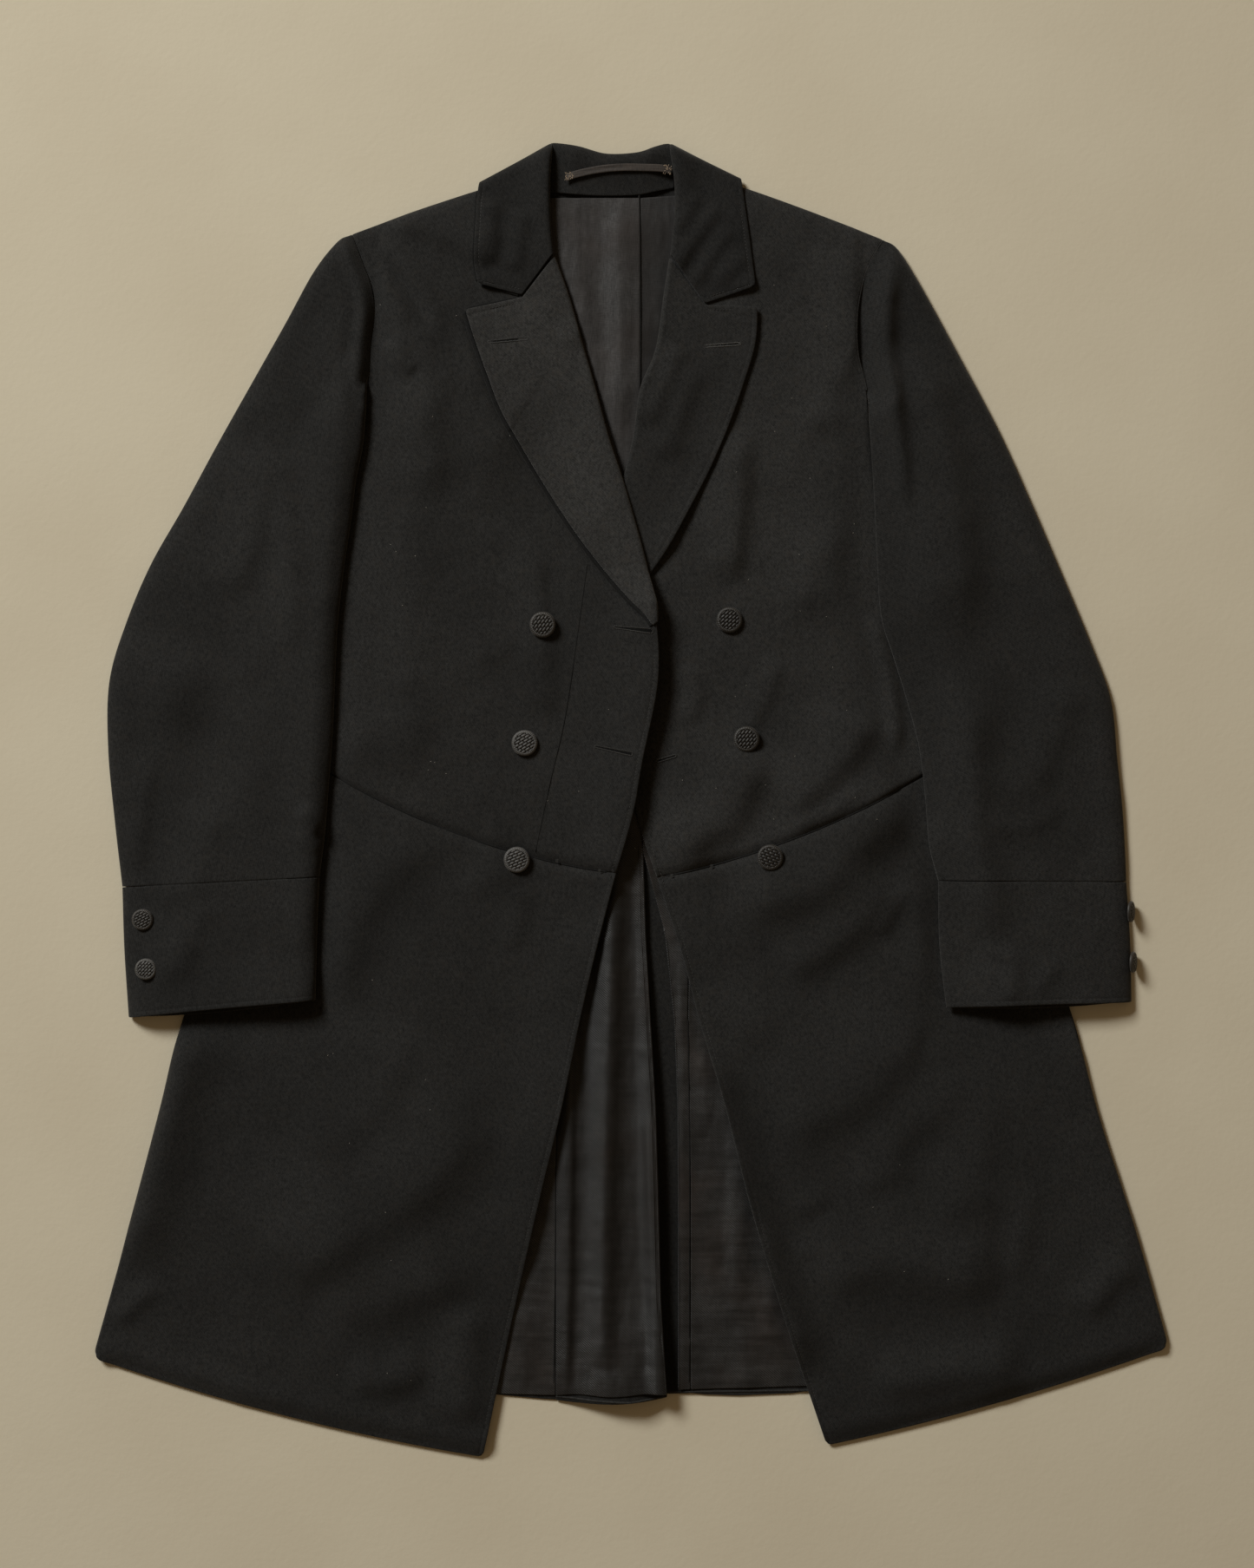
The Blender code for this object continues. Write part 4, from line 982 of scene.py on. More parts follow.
class Nodes:
    """Short hands for building a material."""

    def __init__(self, name):
        self.material = bpy.data.materials.new(name)
        self.material.use_nodes = True
        self.tree = self.material.node_tree
        self.shader = self.tree.nodes["Principled BSDF"]
        self.where = self.tree.nodes.new("ShaderNodeTexCoord").outputs["Object"]

    def node(self, kind, links=(), **values):
        made = self.tree.nodes.new(kind)
        for key, value in values.items():
            setattr(made, key, value)
        for socket, value in dict(links).items():
            self.put(made.inputs[socket], value)
        return made

    def put(self, socket, value):
        if isinstance(value, bpy.types.NodeSocket):
            self.tree.links.new(value, socket)
        else:
            socket.default_value = value

    def mapped(self, scale=(1, 1, 1), turn=0.0):
        return self.node("ShaderNodeMapping", {"Vector": self.where, "Scale": scale, "Rotation": (0, 0, math.radians(turn))}).outputs["Vector"]

    def noise(self, size, detail=2.0, rough=0.5, scale=(1, 1, 1), turn=0.0, distortion=0.0):
        """Noise whose features are about size millimetres."""
        return self.node(
            "ShaderNodeTexNoise",
            {
                "Vector": self.mapped(scale, turn),
                "Scale": 1000.0 / size / 2,
                "Detail": detail,
                "Roughness": rough,
                "Distortion": distortion,
            },
        ).outputs["Fac"]

    def ramp(self, value, low, high, from_low=0.3, from_high=0.7):
        made = self.node(
            "ShaderNodeMapRange",
            {"Value": value, "From Min": from_low, "From Max": from_high, "To Min": low, "To Max": high},
        )
        return made.outputs["Result"]

    def sums(self, *pairs):
        total = None
        for value, by in pairs:
            scaled = self.node("ShaderNodeMath", {0: value, 1: by}, operation="MULTIPLY").outputs[0]
            total = scaled if total is None else self.node("ShaderNodeMath", {0: total, 1: scaled}, operation="ADD").outputs[0]
        return total

    def blend(self, factor, first, second, mode="MIX"):
        made = self.tree.nodes.new("ShaderNodeMix")
        made.data_type = "RGBA"
        made.blend_type = mode
        self.put(made.inputs["Factor"], factor)
        self.put(made.inputs["A"], first if isinstance(first, bpy.types.NodeSocket) else (*first, 1.0))
        self.put(made.inputs["B"], second if isinstance(second, bpy.types.NodeSocket) else (*second, 1.0))
        return made.outputs["Result"]

    def bump(self, height, distance, strength=1.0):
        made = self.node("ShaderNodeBump", {"Height": height, "Strength": strength, "Distance": distance})
        self.put(self.shader.inputs["Normal"], made.outputs["Normal"])

    def finish(self, **values):
        for key, value in values.items():
            self.put(self.shader.inputs[key.replace("_", " ")], value)
        return self.material


def wool_material(name, tone=1.0, turn=0.0, sheen=0.3, inner=None):
    """Black broadcloth: a short brushed nap over a fine twill, with a little fluff and wear. inner, when given, is
    painted shade: the colour darkens towards low x in the object, from the first number at the second x in metres to
    none at the third.
    """
    k = Nodes(name)
    dark = tuple(c * tone for c in (0.0062, 0.0061, 0.0060))
    light = tuple(c * tone for c in (0.0310, 0.0304, 0.0296))
    warm = tuple(c * tone for c in (0.0270, 0.0238, 0.0205))
    nap = k.noise(1.0, 3.0, 0.68, scale=(1.0, 0.7, 1.0), turn=turn)
    twill = k.node(
        "ShaderNodeTexWave",
        {"Vector": k.mapped(turn=turn - 38), "Scale": 215.0, "Distortion": 3.0, "Detail": 2.0, "Detail Scale": 1.2},
        wave_type="BANDS",
        bands_direction="X",
    ).outputs["Fac"]
    weave = k.noise(0.55, 1.0, 0.5, scale=(1.0, 2.6, 1.0), turn=turn + 28)
    cross = k.noise(0.55, 1.0, 0.5, scale=(2.6, 1.0, 1.0), turn=turn + 28)
    cloud = k.noise(34.0, 3.0, 0.55)
    broad = k.noise(130.0, 2.0, 0.5)
    fleck = k.noise(2.3, 2.0, 0.5)
    speck = k.ramp(k.sums((nap, 0.48), (weave, 0.24), (cross, 0.22), (twill, 0.06)), 0.0, 1.0, 0.36, 0.64)
    colour = k.blend(speck, dark, light)
    colour = k.blend(k.ramp(fleck, 0.0, 0.35, 0.52, 0.68), colour, warm)
    shade = k.ramp(k.sums((cloud, 0.55), (broad, 0.45)), 0.84, 1.16, 0.38, 0.62)
    shaded = k.node("ShaderNodeVectorMath", {0: colour, "Scale": shade}, operation="SCALE").outputs["Vector"]
    if inner:
        # painted shade: the colour darkens towards low x, the right sleeve's inner side
        across = k.node("ShaderNodeSeparateXYZ", {"Vector": k.where}).outputs["X"]
        inner_shade = k.ramp(across, inner[0], 1.0, inner[1], inner[2])
        shaded = k.node("ShaderNodeVectorMath", {0: shaded, "Scale": inner_shade}, operation="SCALE").outputs["Vector"]
    k.bump(k.sums((nap, 0.7), (weave, 0.5), (cross, 0.4), (fleck, 0.6), (twill, 0.10)), 0.00024, 0.85)
    return k.finish(
        Base_Color=shaded,
        Roughness=0.93,
        Specular_IOR_Level=0.2,
        Sheen_Weight=sheen,
        Sheen_Roughness=0.42,
        Sheen_Tint=(0.62, 0.60, 0.58, 1.0),
    )


def grey_lining_material(name="grey_body_lining", tone=1.0):
    """Dull grey body lining: a plain weave with uneven threads."""
    k = Nodes(name)
    warp = k.noise(0.6, 2.0, 0.5, scale=(2.2, 0.22, 1.0))
    weft = k.noise(0.6, 2.0, 0.5, scale=(0.22, 2.2, 1.0))
    slub = k.noise(4.0, 2.0, 0.5, scale=(1.6, 0.12, 1.0))
    stain = k.noise(46.0, 3.0, 0.6)
    mottle = k.noise(7.0, 3.0, 0.6)
    speck = k.ramp(k.sums((warp, 0.42), (weft, 0.36), (slub, 0.22)), 0.0, 1.0, 0.38, 0.62)
    colour = k.blend(speck, tuple(c * tone for c in (0.0165, 0.0155, 0.0155)), tuple(c * tone for c in (0.041, 0.0392, 0.0395)))
    colour = k.blend(k.ramp(stain, 0.0, 0.7, 0.42, 0.64), colour, tuple(c * tone for c in (0.021, 0.0160, 0.0145)))
    colour = k.node("ShaderNodeVectorMath", {0: colour, "Scale": k.ramp(k.sums((slub, 0.22), (mottle, 0.78)), 0.86, 1.12, 0.38, 0.62)}, operation="SCALE").outputs["Vector"]
    k.bump(k.sums((warp, 0.6), (weft, 0.55), (slub, 0.15), (mottle, 0.8)), 0.00018, 0.7)
    return k.finish(
        Base_Color=colour,
        Roughness=k.ramp(speck, 0.74, 0.6, 0.0, 1.0),
        Specular_IOR_Level=0.28,
        Sheen_Weight=0.16,
        Sheen_Roughness=0.5,
        Sheen_Tint=(0.7, 0.68, 0.68, 1.0),
    )


def black_lining_material(name="black_twill_lining", tone=1.0):
    """Black twill lining with a soft lustre: fine diagonal ribs, fine creases across and worn places. The creases and
    worn places also scale the colour: the wear is the cloth's own, and along the creases it is painted shade and
    highlight.
    """
    k = Nodes(name)
    ribs = k.node(
        "ShaderNodeTexWave",
        {"Vector": k.mapped(turn=-50), "Scale": 230.0, "Distortion": 1.2, "Detail": 1.0, "Detail Scale": 1.4},
        wave_type="BANDS",
        bands_direction="X",
    ).outputs["Fac"]
    thread = k.noise(0.7, 2.0, 0.5, scale=(2.0, 0.3, 1.0))
    weft = k.noise(0.8, 2.0, 0.5, scale=(0.3, 2.0, 1.0))
    stain = k.noise(40.0, 3.0, 0.6)
    worn = k.noise(11.0, 4.0, 0.62, scale=(1.0, 0.6, 1.0))
    crease = k.noise(5.0, 3.0, 0.6, scale=(0.22, 1.7, 1.0))
    streak = k.noise(9.0, 3.0, 0.55, scale=(1.5, 0.2, 1.0))
    speck = k.ramp(k.sums((ribs, 0.42), (thread, 0.3), (weft, 0.28)), 0.0, 1.0, 0.26, 0.74)
    dark, light = tuple(c * tone for c in (0.0030, 0.0030, 0.0031)), tuple(c * tone for c in (0.0245, 0.0240, 0.0243))
    colour = k.blend(speck, dark, light)
    colour = k.blend(k.ramp(stain, 0.0, 0.6, 0.46, 0.66), colour, tuple(c * tone for c in (0.0150, 0.0112, 0.0098)))
    # worn places and fine creases scale the colour 0.55 to 1.6 times: real wear, plus painted shade and highlight along
    # the creases
    shade = k.ramp(k.sums((worn, 0.55), (crease, 0.45)), 0.55, 1.6, 0.38, 0.64)
    colour = k.node("ShaderNodeVectorMath", {0: colour, "Scale": shade}, operation="SCALE").outputs["Vector"]
    k.bump(k.sums((ribs, 0.8), (thread, 0.45), (weft, 0.4), (crease, 1.5), (streak, 0.6)), 0.00024, 0.85)
    return k.finish(
        Base_Color=colour,
        Roughness=k.ramp(k.sums((streak, 0.4), (speck, 0.4), (worn, 0.2)), 0.58, 0.48, 0.36, 0.64),
        Specular_IOR_Level=0.36,
        Sheen_Weight=0.1,
        Sheen_Roughness=0.4,
        Sheen_Tint=(0.75, 0.75, 0.78, 1.0),
    )


def thread_material(name, low, high, rough=0.55, spec=0.5, size=0.35):
    k = Nodes(name)
    fibre = k.noise(size, 2.0, 0.6)
    wear = k.noise(5.0, 2.0, 0.5)
    colour = k.blend(k.ramp(k.sums((fibre, 0.6), (wear, 0.4)), 0.0, 1.0, 0.36, 0.64), low, high)
    k.bump(fibre, 0.00012, 0.7)
    return k.finish(Base_Color=colour, Roughness=k.ramp(fibre, rough - 0.08, rough + 0.08), Specular_IOR_Level=spec, Sheen_Weight=0.2, Sheen_Roughness=0.4, Sheen_Tint=(0.8, 0.78, 0.75, 1.0))


def tape_material():
    k = Nodes("brown_tape")
    ribs = k.noise(0.5, 1.0, 0.5, scale=(2.4, 0.4, 1.0))
    long_ribs = k.noise(0.9, 1.0, 0.5, scale=(0.12, 2.2, 1.0))
    wear = k.noise(9.0, 3.0, 0.6)
    colour = k.blend(k.ramp(k.sums((ribs, 0.5), (long_ribs, 0.5)), 0.0, 1.0, 0.38, 0.62), (0.017, 0.0135, 0.0115), (0.043, 0.034, 0.029))
    colour = k.blend(k.ramp(wear, 0.0, 0.5, 0.5, 0.7), colour, (0.050, 0.037, 0.029))
    k.bump(k.sums((ribs, 0.5), (long_ribs, 0.6)), 0.0002, 0.8)
    return k.finish(Base_Color=colour, Roughness=0.7, Specular_IOR_Level=0.35, Sheen_Weight=0.25, Sheen_Roughness=0.45, Sheen_Tint=(0.7, 0.66, 0.6, 1.0))


def floor_material():
    """Pale plaster-like floor, a little uneven."""
    k = Nodes("pale_floor")
    grain = k.noise(2.4, 3.0, 0.55)
    patch = k.noise(90.0, 3.0, 0.5)
    pits = k.noise(9.0, 2.0, 0.5)
    colour = k.blend(k.ramp(patch, 0.0, 1.0, 0.35, 0.65), (0.574, 0.511, 0.392), (0.600, 0.540, 0.419))
    k.bump(k.sums((grain, 0.6), (pits, 0.5), (patch, 1.5)), 0.0006, 0.35)
    return k.finish(Base_Color=colour, Roughness=0.85, Specular_IOR_Level=0.25)


# Copies of one wool in different tones: partly the nap, which differs from panel to panel, and partly painted light and
# shade for how the window falls on each panel. The right sleeve's copy also has painted shade on its inner side.
WOOL_BODY = wool_material("wool_body", 1.0)
WOOL_LEFT = wool_material("wool_left_front", 0.80, 6, 0.25)
WOOL_SLEEVE_LEFT = wool_material("wool_sleeve_left", 0.741, 25, 0.22)
WOOL_SLEEVE_RIGHT = wool_material("wool_sleeve_right", 0.80, -22, 0.24, inner=(0.84, 0.21, 0.262))
WOOL_COLLAR = wool_material("wool_collar", 0.58, 8, 0.16)
WOOL_LAPEL_LEFT = wool_material("wool_lapel_left", 1.36, -12, 0.38)
WOOL_LAPEL_RIGHT = wool_material("wool_lapel_right", 0.82, -12, 0.26)
WOOL_SKIRT = wool_material("wool_skirts", 0.74, 3, 0.24)
# the backs show mostly in the vent's recess: their darker tone is painted shade there
WOOL_BACK = wool_material("wool_backs", 0.5, 0, 0.12)
# near-black wool for cords laid in seams and beside edges: painted shade in those seams and gaps
WOOL_SHADE_LINE = wool_material("wool_painted_shade_line", 0.35, 0, 0.05)
# Copies of the linings in other tones: painted light and shade, the right half of the neck lining darker than the left,
# and the tail lining's middle panel darker than its side panels.
GREY_LINING = grey_lining_material()
GREY_LINING_RIGHT = grey_lining_material("grey_body_lining_right", 0.52)
BLACK_LINING = black_lining_material("black_twill_lining", 0.76)
BLACK_LINING_SIDES = black_lining_material("black_twill_lining_sides", 1.22)
BUTTON_THREAD = thread_material("button_thread", (0.0125, 0.011, 0.0095), (0.040, 0.035, 0.030))
BUTTON_THREAD_PALE = thread_material("button_thread_pale", (0.026, 0.0245, 0.023), (0.082, 0.078, 0.074))
BUTTON_THREAD_DARK = thread_material("button_thread_dark", (0.0062, 0.0052, 0.0043), (0.021, 0.0175, 0.014))
# near-black material for the recesses in the buttons' weave: painted shade
BUTTON_GAP_SHADE = thread_material("button_weave_shade", (0.0028, 0.0025, 0.0022), (0.006, 0.0052, 0.0045), 0.9, 0.1)
STITCH_THREAD = thread_material("black_thread", (0.012, 0.0115, 0.011), (0.030, 0.029, 0.027), 0.6, 0.4)
SILK_THREAD = thread_material("buttonhole_thread", (0.022, 0.021, 0.019), (0.055, 0.052, 0.047), 0.5, 0.5)
SILK_THREAD_DARK = thread_material("buttonhole_thread_dark", (0.0105, 0.0098, 0.009), (0.027, 0.0252, 0.0226), 0.6, 0.4)
BEIGE_THREAD = thread_material("beige_thread", (0.16, 0.105, 0.065), (0.42, 0.33, 0.24), 0.6, 0.4)
# near-black material for buttonhole slits: painted shade
SLIT_SHADE = thread_material("painted_slit_shade", (0.003, 0.003, 0.003), (0.006, 0.006, 0.006), 0.9, 0.1)
LINT = thread_material("lint", (0.20, 0.18, 0.15), (0.42, 0.40, 0.36), 0.8, 0.2)
TAPE = tape_material()


def place_piece(thing, slot, *nodes):
    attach(thing, "root")
    if nodes:
        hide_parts(*nodes)
    return thing


# The bottom layer: backs and side bodies; the collar's fall is made with the collar -------------------


def panel(rows, knee=None, curve=through):
    return panel_place(rows, knee, curve), len(rows) - 1


def make_backs():
    for side, rows, lift in (("left", BACK_LEFT, vent_lift), ("right", BACK_RIGHT, None)):
        place, last = panel(rows, curve=straight)
        g = lay_out(place, last, (PLAIN, PLAIN, PLAIN, PLAIN), 18, 90)
        z = 0.85 + neck_rise(g.x, g.y) + (lift(g.x, g.y) if lift else 0.0)
        mid = stack(g.x, g.y, z)
        # the backs' darker wool is painted shade for the vent's recess
        thing = cloth("back_" + side + "_cloth", mid, WOOL, WOOL_BACK)
        place_piece(thing, "wool", "back_" + side)
        area = flat_area(mid)
    for side, rows in (("left", SIDE_BODY_LEFT), ("right", SIDE_BODY_RIGHT)):
        place, last = panel(rows, curve=straight)
        g = lay_out(place, last, (PLAIN, PLAIN, PLAIN, PLAIN), 12, 40)
        mid = stack(g.x, g.y, 0.85 + 0 * g.x)
        thing = cloth("side_body_" + side + "_cloth", mid, WOOL, WOOL_BODY)
        place_piece(thing, "wool", "side_body_" + side)
        round(flat_area(mid), 4)


# Linings -------------------------------------------------------------------------------------------


def make_linings():
    # thin edges only, since the lining is sewn in all round
    thin = [0.5, 1.4, 3.2, 6.5]
    # the right neck lining and the tail's middle panel take darker copies of their linings, the tail's side panels a
    # lighter one: painted light and shade
    for name, rows, lift, material, flat, across, along in (
        ("lining_back_left", LINING_BACK_LEFT, neck_rise, GREY_LINING, (0.095, 0.255), 40, 90),
        ("lining_back_right", LINING_BACK_RIGHT, neck_rise, GREY_LINING_RIGHT, (0.06, 0.255), 26, 90),
        ("lining_skirt_left", LINING_SKIRT_LEFT, None, BLACK_LINING_SIDES, (0.09, 0.315), 30, 110),
        ("lining_tail_left", LINING_TAIL_LEFT, vent_lift, BLACK_LINING, (0.095, 0.485), 64, 170),
        ("lining_tail_right", LINING_TAIL_RIGHT, None, BLACK_LINING_SIDES, (0.042, 0.48), 12, 140),
        ("lining_skirt_right", LINING_SKIRT_RIGHT, None, BLACK_LINING_SIDES, (0.13, 0.355), 46, 120),
    ):
        place, last = panel(rows, curve=straight)
        g = lay_out(place, last, (thin, thin, thin, thin), across, along)
        x, y = g.x, g.y
        if name == "lining_tail_left":
            y = y + 1.6 * np.sin(x / 9.0) * ease((6 - g.d) / 6) * 0.5
        z = LINING_LAYER + LINING / 2 + lining_relief(x, y)
        if lift is not None:
            z = z + lift(x, y)
        z = z + 0.12 * wobble(x, y, 13, 21) + 0.09 * wobble(x * 2.2, y * 0.45, 12, 22) + 0.14
        if lift is not neck_rise:
            z = z + 0.10 * wobble(x * 0.35, y * 1.6, 12, 23) + 0.16 * wobble(x * 0.5, y, 26, 24) + 0.1
        if name == "lining_skirt_right":
            # the join across this panel
            z = z - 0.5 * np.exp(-(((y - at(800, 1255).y) / 1.1) ** 2)) * ease((at(830, 1255).x - x) / 6)
        if name in ("lining_back_left", "lining_back_right"):
            # the pleat down the middle of the body lining, and the fullness along the left roll
            z = z + (0.5 * np.exp(-(((x - 6.0) / 1.6) ** 2)) if name == "lining_back_left" else -0.3 * np.exp(-(np.abs(x - 7.1) / 4.5)))
            roll = np.interp(y, *NECK_ROLL)
            puff = 2.0 * np.exp(-(((x - roll - 8) / 13.0) ** 2)) * ease((438 - y) / 40) * ease((y - 215) / 60)
            room = FRONT_LAYER + neck_rise(x, y) + air(x, y) - z - LINING / 2 - 0.3
            z = z + np.where(x < roll + 3, np.clip(room, 0, puff), puff)
        mid = stack(x, y, z)
        thing = cloth(name + "_cloth", mid, LINING, material)
        place_piece(thing, "grey_lining" if lift is neck_rise else "black_lining", name)
        area = flat_area(mid)


# Fronts, skirts and lapels -------------------------------------------------------------------------


def dart(x, y, line, deep):
    return fold_height(Fold(line, 1.3, 1.3, -deep, 0.05), x, y)


DART_LEFT = points((667, 764), (657, 805), (645, 866), (635, 910), (629, 975))


def make_foreparts():
    for side, rows, base in (("right", FOREPART_RIGHT, front_right), ("left", FOREPART_LEFT, front_left)):
        place, last = panel(rows)
        lapel_end = 9.05 if side == "left" else 8.65

        def near(t, width, lapel_end=lapel_end):
            """The roll edge is the lapel's; below it the front edge is the forepart's own."""
            inset = 0.8 + 3.9 * float(ease((lapel_end - t) / 0.9))
            return [inset + s - 0.8 for s in SOFT]

        g = lay_out(place, last, (SOFT, near, PLAIN, SEWN), 80, 210)
        x, y = g.x, g.y
        shoulder = rounded(g.c, SHOULDER_ROLL)
        side_round = rounded(g.a, SIDE_ROLL)
        side_round = 1 - (1 - side_round) * ease((g.t - 5.0) / 0.8)
        rise = neck_rise(x, y)
        under = rise + (base(x, y) - rise) * np.minimum(shoulder, side_round)
        own_edge = ease((g.t - 9.2) / 0.5)
        z = under + WOOL / 2 + stitched(g.b) * own_edge - seam_dip(g.d)
        if side == "left":
            z = z + dart(x, y, DART_LEFT, 0.55)
            lapel, lapel_last = panel(LAPEL_LEFT, 0.62)
            edge = [Point(px, py) for px, py in edge_line(lapel, lapel_last, "a", -1.5, 0.1, lapel_last, 40)]
            z = z + fold_height(Fold(edge, 3.0, 3.0, -2.3, 0.03), x, y)
        z = np.maximum(z, WOOL / 2 + 0.05)
        mid = stack(x, y, z)
        thing = cloth("forepart_" + side + "_cloth", mid, WOOL, WOOL_LEFT if side == "left" else WOOL_BODY, bulge=(0.7, 0.7, 1, 0.25))
        place_piece(thing, "wool", "forepart_" + side)
        round(flat_area(mid), 4)


def round_tip(mid, place, last, radius):
    """Rounds the lower outer corner of a folded panel, in both of its layers alike."""
    px, py = place(np.array([0.0, 0.0, 0.12]), np.array([last, last - 0.3, last], float))
    ex, ey = unit(px[1] - px[0], py[1] - py[0])
    hx, hy = unit(px[2] - px[0], py[2] - py[0])
    turn = 1.0 if ex * hy - ey * hx > 0 else -1.0
    ax, ay = -ey * turn, ex * turn
    dx, dy = hy * turn, -hx * turn
    x, y = mid[..., 0] - px[0], mid[..., 1] - py[0]
    u = np.clip(radius - (x * ax + y * ay), 0, None)
    v = np.clip(radius - (x * dx + y * dy), 0, None)
    move = 1 - np.maximum(u, v) / np.maximum(np.hypot(u, v), 1e-6)
    move = np.where((u > 0) & (v > 0), move, 0.0)
    made = mid.copy()
    made[..., 0] += move * (u * ax + v * dx)
    made[..., 1] += move * (u * ay + v * dy)
    return made


def make_skirts():
    radius = FRONT_TOP / 2
    reach = radius - WOOL / 2
    for side, rows, base in (("right", SKIRT_RIGHT, front_right), ("left", SKIRT_LEFT, front_left)):
        front_rows = [Row(row.xs, row.ys, row.xf, row.yf, row.bow) for row in rows]
        front, last = panel(front_rows)
        roll = [0.9, 1.6, 2.6, 4.0, 6.0, 9.0, 13.0]
        g = lay_out(front, last, (roll, SOFT, SEWN, SOFT), 54, 120)
        g = round_corners(g, bd=5.0)
        n, m = g.x.shape
        x, y = g.x, g.y
        settle = rounded(g.a, 14.0)
        under = FRONT_LAYER + (base(x, y) - FRONT_LAYER) * settle
        z = under + WOOL / 2 + stitched(g.b) + hem_roll(g.d) * ease(g.a / 20) - seam_dip(g.c) * ease(g.a / 12)
        z = np.maximum(z, 2 * WOOL + 0.3 - 0.9 * (1 - ease(g.d / 6.0)))
        top = stack(x, y, z)[::-1]

        # the fold at the side
        width = g.a[-1] + g.b[-1]
        turn = []
        for angle in np.radians([8, 26, 45, 63, 81, 99, 117, 135, 154, 172]):
            inset = radius - reach * math.sin(angle)
            u = inset / width
            tx, ty = front(u, g.t[0])
            turn.append(stack(tx, ty, radius + reach * math.cos(angle) + 0 * tx))
        turn = np.array(turn)

        # the back of it, under the coat
        xs, ys = through(column(rows, "xs"), g.t[0]), through(column(rows, "ys"), g.t[0])
        xb, yb = straight(column(rows, "xb"), g.t[0]), straight(column(rows, "yb"), g.t[0])
        under_parts = []
        for share in [0.02, 0.06, 0.15, 0.27, 0.4, 0.53, 0.66, 0.79, 0.9, 0.97, 1.0]:
            bx, by = xs + (xb - xs) * share, ys + (yb - ys) * share
            if side == "right":
                by = by - 7.5 * ease((g.t[0] - last + 1) / 1.0) * np.exp(-(((bx - 130) / 75.0) ** 2)) * ease((bx - 46) / 20)
            under_parts.append(stack(bx, by, WOOL / 2 + 0.05 + 0 * bx))
        mid = round_tip(np.concatenate([top, turn, np.array(under_parts)]), front, last, 8.0)
        thing = cloth("skirt_" + side + "_cloth", mid, WOOL, WOOL_SKIRT, bulge=(0.5, 0.3, 0.25, 1), top=slice(0, n))
        place_piece(thing, "wool", "skirt_" + side)
        round(flat_area(mid), 4)


def rolled(g, z, radius, outward=None):
    """Columns that carry a turned-back edge round and under, beyond the last column of a grid."""
    x0, y0, z0 = g.x[-1], g.y[-1], z[-1]
    ex, ey = unit(g.x[-1] - g.x[-3], g.y[-1] - g.y[-3])
    made = []
    for angle in np.radians([70, 48, 26, 4, -18, -40, -62, -90]):
        made.append(stack(x0 + ex * radius * math.cos(angle), y0 + ey * radius * math.cos(angle), z0 - radius + radius * math.sin(angle)))
    made.append(stack(x0 - ex * 1.3, y0 - ey * 1.3, z0 - 2 * radius))
    return np.array(made)


def make_lapels():
    for side, rows, base in (("right", LAPEL_RIGHT, front_right), ("left", LAPEL_LEFT, front_left)):
        place, last = panel(rows, 0.62)

        def near(t, width):
            start = min(2.6, 0.19 * width) + 0.8
            return [start + s for s in (0.0, 0.7, 1.8, 3.4, 5.6, 9.0)]

        g = lay_out(place, last, (SOFT, near, SOFT, PLAIN), 34, 110)
        g = round_corners(g, ac=3.4)
        x, y = g.x, g.y
        width = (g.a + g.b)[0]
        radius = np.minimum(2.6, 0.19 * width)
        under = base(x, y)
        flat_z = under + WOOL + LAPEL_GAP + WOOL / 2
        roll_z = under + WOOL / 2 + 2 * radius
        spring = np.exp(-(((g.b - g.b[-1:]) / np.minimum(26.0, 0.55 * width)) ** 2))
        z = flat_z + (roll_z - flat_z) * spring
        z = z + stitched(g.a) + stitched(g.c) * ease((0.6 - g.u) / 0.1)
        z = z + relief_of(LAPEL_FOLDS, x, y) * ease(g.a / 14) + 0.12 * wobble(x, y, 26, 31) + 0.14
        # the peak and the free edge of the lapel lift a little
        z = z + 1.0 * ease((24 - np.hypot(g.a, g.c)) / 24) + 1.2 * np.exp(-((g.a / 9.0) ** 2)) * ease(width / 30)
        if side == "right":
            z = z + 2.2 * np.exp(-((g.a / 14.0) ** 2)) * ease((250 - y) / 40) * ease((y - 176) / 26)
        mid = np.concatenate([stack(x, y, z), rolled(g, z, radius)])
        thing = cloth("lapel_" + side + "_cloth", mid, WOOL, WOOL_LAPEL_LEFT if side == "left" else WOOL_LAPEL_RIGHT, bulge=(1, 1, 0.7, 1), top=slice(0, len(g.x)))
        place_piece(thing, "wool", "lapel_" + side)
        area = flat_area(mid)


# The collar ----------------------------------------------------------------------------------------


